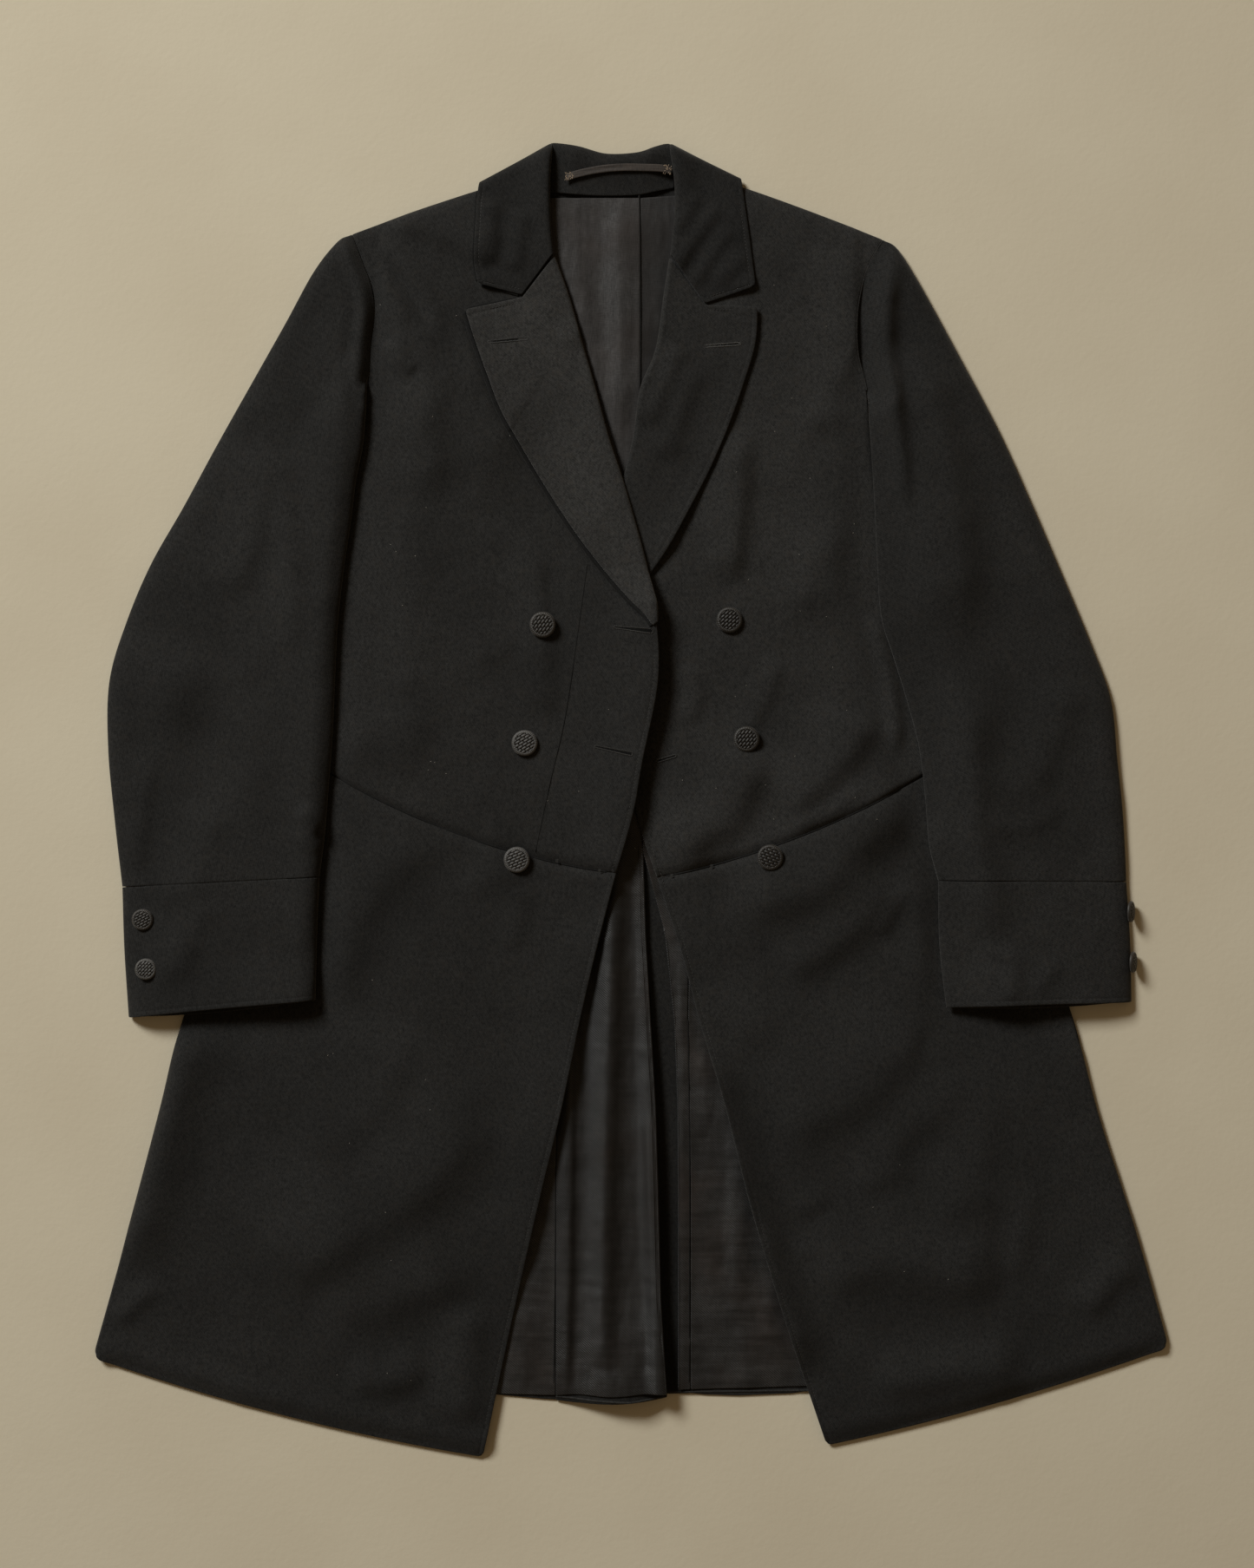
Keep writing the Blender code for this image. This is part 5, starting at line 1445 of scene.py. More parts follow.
def make_collar():
    for side, rows in (("left", LEAF_LEFT), ("right", LEAF_RIGHT)):
        place, last = panel(rows, 0.58)

        def near(t, width):
            start = 3.0 + 0.8
            return [start + s for s in (0.0, 0.7, 1.8, 3.4, 5.6, 9.0)]

        g = lay_out(place, last, (SOFT, near, ROUND, SOFT), 26, 40)
        g = round_corners(g, ad=5.0, bc=4.0)
        x, y = g.x, g.y
        edge = rounded(g.c, COLLAR_ROLL)
        front = front_left if side == "left" else front_right
        flat_z = front(x, y) + WOOL + LEAF_GAP + WOOL / 2
        base_z = 7.6
        flat_z = np.maximum(flat_z, FRONT_TOP + neck_rise(x, y) + LEAF_GAP + WOOL / 2)
        radius = (3.0 * rounded(g.c[-1] + 0.3, COLLAR_ROLL) + 0.1).clip(0.3, 3.0)
        roll_z = np.maximum(base_z + 2 * 3.0, flat_z + 1.4)
        z = flat_z + (roll_z - flat_z) * np.exp(-(((g.b - g.b[-1:]) / 16.0) ** 2))
        z = z + relief_of(LEAF_FOLDS, x, y) + 0.1 * wobble(x, y, 24, 41) + stitched(g.a) + stitched(g.d) * ease((0.56 - g.u) / 0.1)
        # the points stand off the lapels
        z = z + (3.4 if side == "left" else 2.4) * ease((30 - np.hypot(g.a, g.d)) / 30)
        z = WOOL / 2 + (z - WOOL / 2) * edge
        radius = np.minimum(radius, np.maximum((z[-1] - WOOL / 2) / 2, 0.05))
        mid = np.concatenate([stack(x, y, z), rolled(g, z, radius)])
        thing = cloth("collar_leaf_" + side + "_cloth", mid, WOOL, WOOL_COLLAR, bulge=(1, 1, 1, 0.8), top=slice(0, len(g.x)))
        place_piece(thing, "wool", "collar_leaf_" + side)
        area = flat_area(mid)

    place, last = panel(COLLAR_STAND)
    g = lay_out(place, last, (SEWN, ROUND, [0.3, 1.0, 2.2, 4.0, 7.0, 11.0], [0.3, 1.0, 2.2, 4.0, 7.0, 11.0]), 14, 46)
    x, y = g.x, g.y
    edge = rounded(g.b, COLLAR_ROLL)
    z = LINING_LAYER + COLLAR_FALL + 0.4 + 3.4 * ease(g.u / 0.85) + WOOL / 2
    corner = np.minimum(g.c, g.d)
    z = z - 2.3 * np.exp(-((corner / 11.0) ** 2)) + 1.1 * np.exp(-(((corner - 20) / 6.0) ** 2)) * ease(g.u)
    z = z + 0.12 * wobble(x, y, 20, 51)
    z = WOOL / 2 + (z - WOOL / 2) * edge
    mid = stack(x, y, z)
    thing = cloth("collar_stand_cloth", mid, WOOL, WOOL_COLLAR, bulge=(0.3, 1, 1, 1))
    place_piece(thing, "wool", "collar_stand")
    round(min(flat_area(mid), 0.00367), 5)

    place, last = panel(COLLAR_FALL_UNDER)
    g = lay_out(place, last, (PLAIN, PLAIN, PLAIN, PLAIN), 8, 30)
    mid = stack(g.x, g.y, WOOL / 2 + 0.05 + 0 * g.x)
    thing = cloth("collar_fall_cloth", mid, WOOL, WOOL_COLLAR)
    place_piece(thing, "wool", "collar_fall")
    round(flat_area(mid), 5)


def loop_height(x):
    share = np.clip((x - HANGER_LOOP[0].x) / (HANGER_LOOP[-1].x - HANGER_LOOP[0].x), 0, 1)
    return 8.9 + 1.2 * np.sin(math.pi * share) - 0.5 * ease(1 - share * 12) - 0.5 * ease((share - 1) * 12 + 1)


def make_loop():
    rows = [Row(p.x, p.y - HANGER_WIDTH / 2, p.x, p.y + HANGER_WIDTH / 2) for p in HANGER_LOOP]
    place, last = panel(rows)
    g = lay_out(place, last, ([0.5, 1.0, 1.6], [0.5, 1.0, 1.6], [0.5, 1.2, 2.4], [0.5, 1.2, 2.4]), 4, 60)
    z = loop_height(g.x) + 0.18 * np.exp(-(((g.a - 0.9) / 0.5) ** 2)) + 0.18 * np.exp(-(((g.b - 0.9) / 0.5) ** 2))
    z = z + 0.25 * np.exp(-(((g.a + g.b) / 2 - g.a) / 1.2) ** 2) * np.sin(g.x / 11.0)
    mid = stack(g.x, g.y, z)
    thing = cloth("hanger_loop_tape", mid, 1.0, TAPE)
    place_piece(thing, "loop_tape", "hanger_loop")
    round(min(flat_area(mid), 0.00098), 5)


# Sleeves and cuffs ---------------------------------------------------------------------------------


def distance_to(line, x, y):
    best = np.full(x.shape, 1e9)
    for px, py in line:
        best = np.minimum(best, np.hypot(x - px, y - py))
    return best


def sleeve_levels(x, y, side, forepart_rows, folds):
    """The heights of the upper and lower layer of a sleeve, away from its edges."""
    base = sleeve_base(x, y)
    low = base + WOOL / 2 + 0.05
    uneven = 0.55 * wobble(x, y, 95, 61) + 0.28 * wobble(x, y, 38, 63) + 0.1 * wobble(x, y, 18, 64)
    full = sleeve_base(x, y, 2.6) + 9.4 + uneven + relief_of(folds, x, y)
    armhole = panel_place(forepart_rows)
    t = np.linspace(0, UNDERARM, 90)
    sx, sy = armhole(np.zeros_like(t), t)
    away = distance_to(list(zip(sx, sy)), x, y)
    front = (front_left if side == "left" else front_right)(x, y) + WOOL / 2
    share = ease(away / 26)
    if side == "left":
        high = front + (full - front) * share + 6.6 * np.exp(-(((away - 8.0) / 6.0) ** 2)) - 0.8 * np.exp(-((away / 2.8) ** 2))
    else:
        high = front + (full - front) * share + (0.7 + 1.1 * ease((y - 60) / 70)) * np.exp(-(((away - 14.0) / 9.0) ** 2)) - 0.25 * np.exp(-((away / 7.0) ** 2))
    high = np.maximum(high, 2.6)
    low = np.maximum(np.minimum(low, high - 2.0), WOOL / 2)
    return high, low


def tube(g, high, low, roll_a, roll_b, low_roll, thick=2.2):
    """The ring of a flattened tube: its upper layer, then its lower layer back again."""
    edge = np.minimum(g.a, g.b)
    middle = low + np.minimum(thick, (high - low) / 2)
    inner = rounded(g.b, roll_b) if roll_b < 20 else 0.26 * rounded(g.b, 12.0) + 0.74 * ease(g.b / roll_b)
    top = middle + (high - middle) * np.minimum(rounded(g.a, roll_a), inner)
    bottom = middle - (middle - low) * rounded(edge, low_roll)
    upper = stack(g.x, g.y, top)
    lower = stack(g.x, g.y, bottom)[::-1][1:-1]
    return np.concatenate([upper, lower])


EDGE = [0.0, 0.15, 0.55, 1.2, 2.1, 3.4, 5.2, 7.6, 10.8, 14.5]


def make_sleeves():
    for side, rows, forepart_rows, material in (
        ("left", SLEEVE_LEFT, FOREPART_LEFT, WOOL_SLEEVE_LEFT),
        ("right", SLEEVE_RIGHT, FOREPART_RIGHT, WOOL_SLEEVE_RIGHT),
    ):
        place = sleeve_place(rows, forepart_rows)

        def inset_place(u, t, place=place):
            """The middle of the cloth is half its thickness inside the outline."""
            x0, y0 = place(np.zeros_like(u), t)
            x1, y1 = place(np.ones_like(u), t)
            width = np.hypot(x1 - x0, y1 - y0)
            share = (WOOL / 2) / width
            return place(share + u * (1 - 2 * share), t)

        g = lay_out(inset_place, len(rows) - 1, (EDGE, EDGE, [0.5, 1.3, 2.4, 4.2, 7.0, 11.0], SEWN), 42, 140)
        high, low = sleeve_levels(g.x, g.y, side, forepart_rows, SLEEVE_FOLDS)
        ring = tube(g, high, low, SLEEVE_ROLL, SLEEVE_ROLL if side == "left" else 44.0, 4.5, 2.2 if side == "left" else 1.2)
        thing = cloth(
            "sleeve_" + side + "_cloth", ring, WOOL, material, closed=True, bulge=(1, 1, 0.8, 0.25), top=slice(3, len(g.x) - 3)
        )
        place_piece(thing, "wool", "sleeve_top_" + side, "sleeve_under_" + side)
        area = flat_area(ring, closed=True)


def make_cuffs():
    for side, rows, material in (("left", CUFF_LEFT, WOOL_SLEEVE_LEFT), ("right", CUFF_RIGHT, WOOL_SLEEVE_RIGHT)):
        flat_place = panel_place(rows)

        def inset_place(u, t, flat_place=flat_place):
            x0, y0 = flat_place(np.zeros_like(u), t)
            x1, y1 = flat_place(np.ones_like(u), t)
            share = (WOOL / 2) / np.hypot(x1 - x0, y1 - y0)
            return flat_place(share + u * (1 - 2 * share), t)

        g = lay_out(inset_place, len(rows) - 1, (EDGE, EDGE, SEWN, SOFT), 26, 26)
        base = sleeve_base(g.x, g.y)
        low = base + WOOL / 2 + 0.05
        outer = g.b / (g.a + g.b)
        low = low + 2.4 * ease((40 - g.d) / 40) * ease(base / 4) * ease((0.8 - outer) / 0.5)
        uneven = 0.55 * wobble(g.x, g.y, 95, 61) + 0.28 * wobble(g.x, g.y, 38, 63) + 0.1 * wobble(g.x, g.y, 18, 64)
        high = sleeve_base(g.x, g.y, 2.6) + 9.4 + uneven + relief_of(SLEEVE_FOLDS, g.x, g.y) + relief_of(CUFF_FOLDS, g.x, g.y)
        lift = 5.6 * ease((0.85 - outer) / 0.7) if side == "left" else 6.6 * np.exp(-(((outer - 0.30) / 0.24) ** 2))
        high = high + lift * ease((46 - g.d) / 46) + stitched(g.d, 0.3) - seam_dip(g.c, 0.25, 2.0)
        ring = tube(g, high, low, SLEEVE_ROLL, SLEEVE_ROLL if side == "left" else 44.0, 4.5, 2.2 if side == "left" else 1.2)
        # the lower layer of the mouth shows a little beyond the upper one
        n = len(g.x)
        hem = ease((12 - g.d) / 12)
        shift = np.zeros(ring.shape[:2])
        shift[:n] = 0.6 * hem
        shift[n:] = -2.4 * hem[::-1][1:-1]
        shift = shift * np.concatenate([np.sin(np.pi * g.u), np.sin(np.pi * g.u[::-1][1:-1])])
        ring[..., 1] += shift
        thing = cloth("cuff_" + side + "_cloth", ring, WOOL, material, closed=True, bulge=(1, 1, 0.25, 1), top=slice(3, n - 3))
        place_piece(thing, "wool", "cuff_" + side)
        area = flat_area(ring, closed=True)


# Buttons -------------------------------------------------------------------------------------------


def woven_button(name, node, x, y, z, radius, turn, tilt=0.0, thread=None):
    """A domed button covered in thread: a basket weave of round strands inside a bound rim, the faces in its gaps and
    grooves given a near-black material as painted shade.
    """
    steps = 72
    line = np.linspace(-1, 1, steps + 1)
    p, q = np.meshgrid(line, line, indexing="ij")
    big = np.maximum(np.abs(p), np.abs(q))
    scale = np.where(big > 0, big / np.maximum(np.hypot(p, q), 1e-9), 1.0)
    # a square grid laid over a disc
    soft = big ** 2
    dx, dy = p * (1 - soft + soft * scale), q * (1 - soft + soft * scale)
    r = np.hypot(dx, dy)
    k = radius / 10.0
    px, py = dx * radius, dy * radius
    dome = (1.35 + 2.3 * np.sqrt(np.maximum(1 - (r * 0.985) ** 2, 0.0)) ** 1.25) * k
    c, s = math.cos(turn), math.sin(turn)
    wx, wy = (px * c + py * s), (-px * s + py * c)
    pitch = 2.15 if radius > 9 else 1.9
    # strands run along wx, two by two, and dive under the next pair: the pairs step sideways row by row
    row = np.floor(wy / pitch)
    fy = wy / pitch - row
    step = (wx + row * pitch * 0.95 + 400 * pitch) / (pitch * 2.0)
    fx = step - np.floor(step)
    strand = np.sqrt(np.maximum(1 - ((fy - 0.5) / 0.42) ** 2, 0.0))
    dive = np.sqrt(np.maximum(1 - ((fx - 0.5) / 0.47) ** 2, 0.0))
    weave = 0.95 * strand * dive + 0.05 * np.cos(10 * math.pi * fy)
    angle = np.arctan2(py, px)
    wrap = 0.5 + 0.5 * np.cos((42 if radius > 9 else 36) * angle + 7 * r)
    ring_ = np.sqrt(np.maximum(1 - ((r - 0.875) / 0.125) ** 2, 0))
    bound = ring_ * (0.62 + 0.22 * wrap)
    inner = ease((0.775 - r) / 0.04)
    height = dome + inner * weave * 0.85 * k + (1 - inner) * bound * k * ease((1.0 - r) / 0.03)
    # faces in the weave's gaps, the groove inside the rim and the gaps in the rim's wrapping take the near-black
    # material: painted shade in those recesses
    gap = (inner > 0.5) & (weave < 0.34) | (np.abs(r - 0.765) < 0.014) | ((inner < 0.5) & (wrap < 0.10) & (r > 0.80) & (r < 0.93))
    top = stack(px, py, height)
    n = steps + 1
    verts = [top.reshape(-1, 3)]
    faces = [grid_faces(n, n, 0)]
    number = np.arange(n * n).reshape(n, n)
    deep = gap.reshape(-1)[faces[0]].sum(axis=1) >= 3
    i = np.concatenate([np.arange(n), np.full(n - 1, n - 1), np.arange(n - 2, -1, -1), np.zeros(n - 2, int)])
    j = np.concatenate([np.zeros(n, int), np.arange(1, n), np.full(n - 1, n - 1), np.arange(n - 2, 0, -1)])
    ring = number[i, j]
    edge = top[i, j]
    count = n * n
    for share, level in ((1.0, 0.75), (0.93, 0.25), (0.6, 0.0), (0.3, 0.0)):
        points_ = edge.copy()
        points_[:, :2] *= share
        points_[:, 2] = level * k
        verts.append(points_)
        new = np.arange(count, count + len(i))
        count += len(i)
        faces.append(strip_faces(ring, new))
        ring = new
    faces = [f.tolist() for f in np.concatenate(faces)] + [ring.tolist()]
    chosen = np.concatenate([deep, np.zeros(len(faces) - len(deep), bool)])
    thing = mesh_object(name, np.concatenate(verts), faces, thread or BUTTON_THREAD, second=BUTTON_GAP_SHADE, chosen=chosen.tolist())
    thing.rotation_euler = (0.0, math.radians(tilt), 0.0)
    thing.location = (x * MM, y * MM, z * MM)
    place_piece(thing, "woven_button", node)
    return thing


def highest(level, x, y, radius):
    angles = np.linspace(0, 2 * math.pi, 13)[:-1]
    px = np.concatenate([[x], x + radius * np.cos(angles), x + radius * 0.5 * np.cos(angles)])
    py = np.concatenate([[y], y + radius * np.sin(angles), y + radius * 0.5 * np.sin(angles)])
    return float(level(px, py).max())


def cuff_top(x, y):
    uneven = 0.55 * wobble(x, y, 95, 61) + 0.28 * wobble(x, y, 38, 63) + 0.1 * wobble(x, y, 18, 64)
    return sleeve_base(x, y, 2.6) + 10.2 + uneven + relief_of(SLEEVE_FOLDS, x, y) + relief_of(CUFF_FOLDS, x, y)


def make_buttons():
    turns = [0.95, 0.55, 0.4, 0.75, 0.9, -0.35]
    threads = [BUTTON_THREAD, BUTTON_THREAD_PALE, BUTTON_THREAD_PALE, BUTTON_THREAD_DARK, BUTTON_THREAD_DARK, BUTTON_THREAD_DARK]
    for i, p in enumerate(FRONT_BUTTONS):
        side = "left" if i < 3 else "right"
        base = front_left if i < 3 else front_right
        z = highest(base, p.x, p.y, 4.0) + WOOL + 0.5
        woven_button(f"woven_{side}_{i % 3 + 1}", f"button_{side}_{i % 3 + 1}", p.x, p.y, z, FRONT_BUTTON_RADIUS, turns[i], 0.0, threads[i])
    for i, p in enumerate(CUFF_BUTTONS_LEFT):
        z = highest(cuff_top, p.x, p.y, 3.0) + 0.5
        woven_button(f"woven_cuff_left_{i + 1}", f"cuff_button_left_{i + 1}", p.x, p.y, z, CUFF_BUTTON_RADIUS, (0.5, 0.8)[i], 0.0, (BUTTON_THREAD, BUTTON_THREAD_PALE)[i])
    for i, p in enumerate(CUFF_BUTTONS_RIGHT):
        woven_button(f"woven_cuff_right_{i + 1}", f"cuff_button_right_{i + 1}", p.x - 1.6, p.y, 7.4, CUFF_BUTTON_RADIUS, 0.2, 66.0)


# Sewing --------------------------------------------------------------------------------------------


def beads(name, centres, directions, ups, length, width, height, material):
    """Many small stitches as one mesh: each a six-sided bead along its direction."""
    verts, faces = [], []
    for c, d, n in zip(centres, directions, ups):
        c, d, n = np.asarray(c, float), np.asarray(d, float), np.asarray(n, float)
        d = d / max(np.linalg.norm(d), 1e-9)
        side = np.cross(n, d)
        side /= max(np.linalg.norm(side), 1e-9)
        start = len(verts)
        verts.append(c - d * length / 2)
        for along in (-0.28, 0.28):
            for angle in np.radians([0, 72, 144, 216, 288]):
                verts.append(c + d * length * along + side * width / 2 * math.cos(angle) + n * height * math.sin(angle))
        verts.append(c + d * length / 2)
        for k in range(5):
            a, b = start + 1 + k, start + 1 + (k + 1) % 5
            e, f = start + 6 + k, start + 6 + (k + 1) % 5
            faces.append([start, b, a])
            faces.append([a, b, f, e])
            faces.append([e, f, start + 11])
    return mesh_object(name, verts, faces, material)


def follow(line, step, jitter=0.0, seed=1):
    """Points and directions at even steps along a line of (x, y)."""
    line = np.asarray(line, float)
    seg = np.hypot(*np.diff(line, axis=0).T)
    run = np.concatenate([[0.0], np.cumsum(seg)])
    s = np.arange(step / 2, run[-1], step)
    rng = np.random.default_rng(seed)
    s = s + rng.uniform(-jitter, jitter, len(s))
    x, y = np.interp(s, run, line[:, 0]), np.interp(s, run, line[:, 1])
    x2, y2 = np.interp(s + 0.4, run, line[:, 0]), np.interp(s + 0.4, run, line[:, 1])
    x1, y1 = np.interp(s - 0.4, run, line[:, 0]), np.interp(s - 0.4, run, line[:, 1])
    dx, dy = unit(x2 - x1, y2 - y1)
    return x, y, dx, dy


def on_surface(level, x, y, dx, dy, lift):
    """Points on a height function, with directions along it and its normal."""
    e = 0.6
    z = level(x, y)
    dz = (level(x + dx * e, y + dy * e) - level(x - dx * e, y - dy * e)) / (2 * e)
    gx = (level(x + e, y) - level(x - e, y)) / (2 * e)
    gy = (level(x, y + e) - level(x, y - e)) / (2 * e)
    normal = np.stack([-gx, -gy, np.ones_like(gx)], axis=-1)
    normal /= np.linalg.norm(normal, axis=-1, keepdims=True)
    centre = np.stack([x, y, z + lift], axis=-1)
    return centre, np.stack([dx, dy, dz], axis=-1), normal


def buttonhole(name, a, b, level, open_by=0.0, seed=0, material=None):
    """A worked buttonhole: a purl of close stitches round a slit that opens towards b; the slit is a near-black sheet
    of painted shade.
    """
    ax, ay, bx, by = a.x, a.y, b.x, b.y
    length = math.hypot(bx - ax, by - ay)
    ex, ey = (bx - ax) / length, (by - ay) / length
    rng = np.random.default_rng(seed)

    def half(s):
        return 0.28 + open_by * ease(s / length) + 0.05 * np.sin(s * 1.7 + seed)

    xs, ys, dxs, dys = [], [], [], []
    for side in (-1, 1):
        s = np.arange(0.2, length, 0.55)
        off = side * (half(s) + 0.62 + rng.uniform(-0.07, 0.07, len(s)))
        lean = 0.5
        xs.append(ax + ex * s - ey * off)
        ys.append(ay + ey * s + ex * off)
        dxs.append(np.full(len(s), -ey * side + ex * lean))
        dys.append(np.full(len(s), ex * side + ey * lean))
    for end_x, end_y, way, wide in ((ax, ay, -1, 0.9), (bx, by, 1, 0.9 + open_by)):
        angles = np.linspace(-1.2, 1.2, 5 if wide < 1.2 else 7)
        xs.append(end_x + wide * way * (ex * np.cos(angles) - ey * np.sin(angles)))
        ys.append(end_y + wide * way * (ey * np.cos(angles) + ex * np.sin(angles)))
        dxs.append(ex * np.cos(angles) - ey * np.sin(angles))
        dys.append(ey * np.cos(angles) + ex * np.sin(angles))
    x, y = np.concatenate(xs), np.concatenate(ys)
    dx, dy = unit(np.concatenate(dxs), np.concatenate(dys))
    centre, along, normal = on_surface(level, x, y, dx, dy, 0.14)
    first = beads(name + "_stitches", centre, along, normal, 1.35, 0.56, 0.42, material or SILK_THREAD)
    place_piece(first, "wool")
    # the slit itself, as overlapping flat grains of near-black painted shade
    xs, ys = [], []
    for share in (-0.8, -0.4, 0.0, 0.4, 0.8):
        s = np.arange(0.3, length, 0.7)
        xs.append(ax + ex * s - ey * half(s) * share)
        ys.append(ay + ey * s + ex * half(s) * share)
    x, y = np.concatenate(xs), np.concatenate(ys)
    centre, along, normal = on_surface(level, x, y, np.full(len(x), ex), np.full(len(x), ey), 0.06)
    slit = beads(name + "_slit", centre, along, normal, 2.0, 0.62, 0.12, SLIT_SHADE)
    place_piece(slit, "wool")


def edge_line(place, last, side, distance, t0=0.0, t1=None, count=240):
    """The line at a distance inside an edge of a panel."""
    if side in ("a", "b"):
        t = np.linspace(t0, last if t1 is None else t1, count)
        u = np.full_like(t, 0.0 if side == "a" else 1.0)
        x0, y0 = place(u, t)
        xi, yi = place(np.abs(u - 0.02), t)
        dx, dy = unit(xi - x0, yi - y0)
    else:
        u = np.linspace(t0, 1.0 if t1 is None else t1, count)
        t = np.full_like(u, 0.0 if side == "c" else float(last))
        x0, y0 = place(u, t)
        xi, yi = place(u, np.abs(t - 0.03))
        dx, dy = unit(xi - x0, yi - y0)
    tx, ty = unit(np.gradient(x0), np.gradient(y0))
    nx, ny = -ty, tx
    sign = np.where(nx * dx + ny * dy > 0, 1, -1)
    return np.stack([x0 + nx * sign * distance, y0 + ny * sign * distance], axis=-1)


def make_sewing():
    left_top = lambda x, y: front_left(x, y) + WOOL
    right_top = lambda x, y: front_right(x, y) + WOOL
    lapel_extra = lambda x, y: WOOL + LAPEL_GAP + 0.12 * wobble(x, y, 26, 31) + 0.14
    lapel_left_top = lambda x, y: left_top(x, y) + lapel_extra(x, y)
    lapel_right_top = lambda x, y: right_top(x, y) + lapel_extra(x, y)
    leaf_extra = lambda x, y: WOOL + LEAF_GAP + relief_of(LEAF_FOLDS, x, y) + 0.1 * wobble(x, y, 24, 41)

    # rows of stitching inside the edges
    lines = []
    for rows, level, extra in (
        (LAPEL_LEFT, lapel_left_top, -0.30),
        (LAPEL_RIGHT, lapel_right_top, -0.30),
    ):
        place, last = panel(rows, 0.62)
        lines.append((edge_line(place, last, "a", 3.9, 0.10, last - 0.4), level, extra))
        lines.append((edge_line(place, last, "c", 3.9, 0.04, 0.58), level, extra + 0.4))
    for rows, level, extra in (
        (LEAF_LEFT, lambda x, y: left_top(x, y) + leaf_extra(x, y), -0.25),
        (LEAF_RIGHT, lambda x, y: right_top(x, y) + leaf_extra(x, y), -0.25),
    ):
        place, last = panel(rows, 0.58)
        lines.append((edge_line(place, last, "a", 3.9, 0.5, last - 0.12), level, extra))
        lines.append((edge_line(place, last, "d", 3.9, 0.05, 0.54), level, extra + 0.3))
    for rows, level in ((FOREPART_LEFT, left_top), (FOREPART_RIGHT, right_top)):
        place, last = panel(rows)
        lines.append((edge_line(place, last, "b", 3.9, 9.6 if rows is FOREPART_LEFT else 12.2), level, -0.28))
    for rows, level in ((SKIRT_LEFT, left_top), (SKIRT_RIGHT, right_top)):
        front_rows = [Row(row.xs, row.ys, row.xf, row.yf, row.bow) for row in rows]
        place, last = panel(front_rows)
        lines.append((edge_line(place, last, "b", 3.9, 0.03, last - 0.08, 400), level, -0.28))
    centres, alongs, ups = [], [], []
    for n, (line, level, lift) in enumerate(lines):
        x, y, dx, dy = follow(line, 2.5, 0.12, 70 + n)
        c, d, u = on_surface(level, x, y, dx, dy, lift)
        centres.append(c)
        alongs.append(d)
        ups.append(u)
    thing = beads("edge_stitching", np.concatenate(centres), np.concatenate(alongs), np.concatenate(ups), 2.0, 0.5, 0.2, STITCH_THREAD)
    place_piece(thing, "wool")

    # buttonholes
    for name, a, b, level, open_by, thread in (
        ("buttonhole_lapel_left", (564, 395), (607, 391), lapel_left_top, 0.25, STITCH_THREAD),
        ("buttonhole_lapel_right", (810, 400), (852, 397), lapel_right_top, 0.1, SILK_THREAD),
        ("buttonhole_left_1", (709, 723.5), (750, 728.5), left_top, 0.85, SILK_THREAD_DARK),
        ("buttonhole_left_2", (687, 860.5), (727, 869), left_top, 0.55, SILK_THREAD_DARK),
        ("buttonhole_right_2", (778, 871), (758, 877), right_top, 0.2, STITCH_THREAD),
    ):
        buttonhole(name, at(*a), at(*b), level, open_by, seed=len(name), material=thread)

    # the holes in the waist seam: short bars at their ends
    centres, alongs, ups = [], [], []
    for (px, py), level in (
        ((642, 992), left_top),
        ((691, 1003), left_top),
        ((774, 1009), right_top),
        ((820, 998), right_top),
    ):
        p = at(px, py)
        for k in (-0.7, 0.0, 0.7):
            c, d, u = on_surface(level, np.array([p.x + k]), np.array([p.y]), np.array([0.1]), np.array([1.0]), 0.1)
            centres.append(c)
            alongs.append(d)
            ups.append(u)
    thing = beads("waist_tacks", np.concatenate(centres), np.concatenate(alongs), np.concatenate(ups), 3.0, 0.5, 0.25, STITCH_THREAD)
    place_piece(thing, "wool")

    # the stitches that hold the loop
    rng = np.random.default_rng(7)
    centres, alongs, ups = [], [], []
    for cx, cy, count in ((-47.5, 480.4, 26), (28.3, 486.0, 26)):
        for k in range(count):
            x = cx + rng.uniform(-3.4, 3.4)
            y = cy + rng.uniform(-3.6, 3.6)
            angle = rng.choice([0.3, 1.3, 1.9, 2.7]) + rng.uniform(-0.2, 0.2)
            centres.append((x, y, float(loop_height(np.array(x))) + 0.72))
            alongs.append((math.cos(angle), math.sin(angle), 0.0))
            ups.append((0, 0, 1))
    thing = beads("loop_stitches", centres, alongs, ups, 1.5, 0.42, 0.28, BEIGE_THREAD)
    place_piece(thing, "loop_tape")

    # lint
    centres, alongs, ups = [], [], []
    for k in range(120):
        x, y = rng.uniform(-250, 250), rng.uniform(-470, 400)
        level = left_top if x < 0 else right_top
        if abs(x) > 200 and y > -180 or (abs(x) < 70 and y > 100) or (-130 < x < 170 and y < -60):
            continue
        angle = rng.uniform(0, math.pi)
        c, d, u = on_surface(level, np.array([x]), np.array([y]), np.array([math.cos(angle)]), np.array([math.sin(angle)]), 0.15)
        centres.append(c[0])
        alongs.append(d[0])
        ups.append(u[0])
    p = at(667, 912)
    c, d, u = on_surface(left_top, np.array([p.x]), np.array([p.y]), np.array([1.0]), np.array([0.5]), 0.15)
    centres.append(c[0])
    alongs.append(d[0])
    ups.append(u[0])
    thing = beads("lint_flecks", centres, alongs, ups, 1.1, 0.3, 0.15, LINT)
    place_piece(thing, "wool")


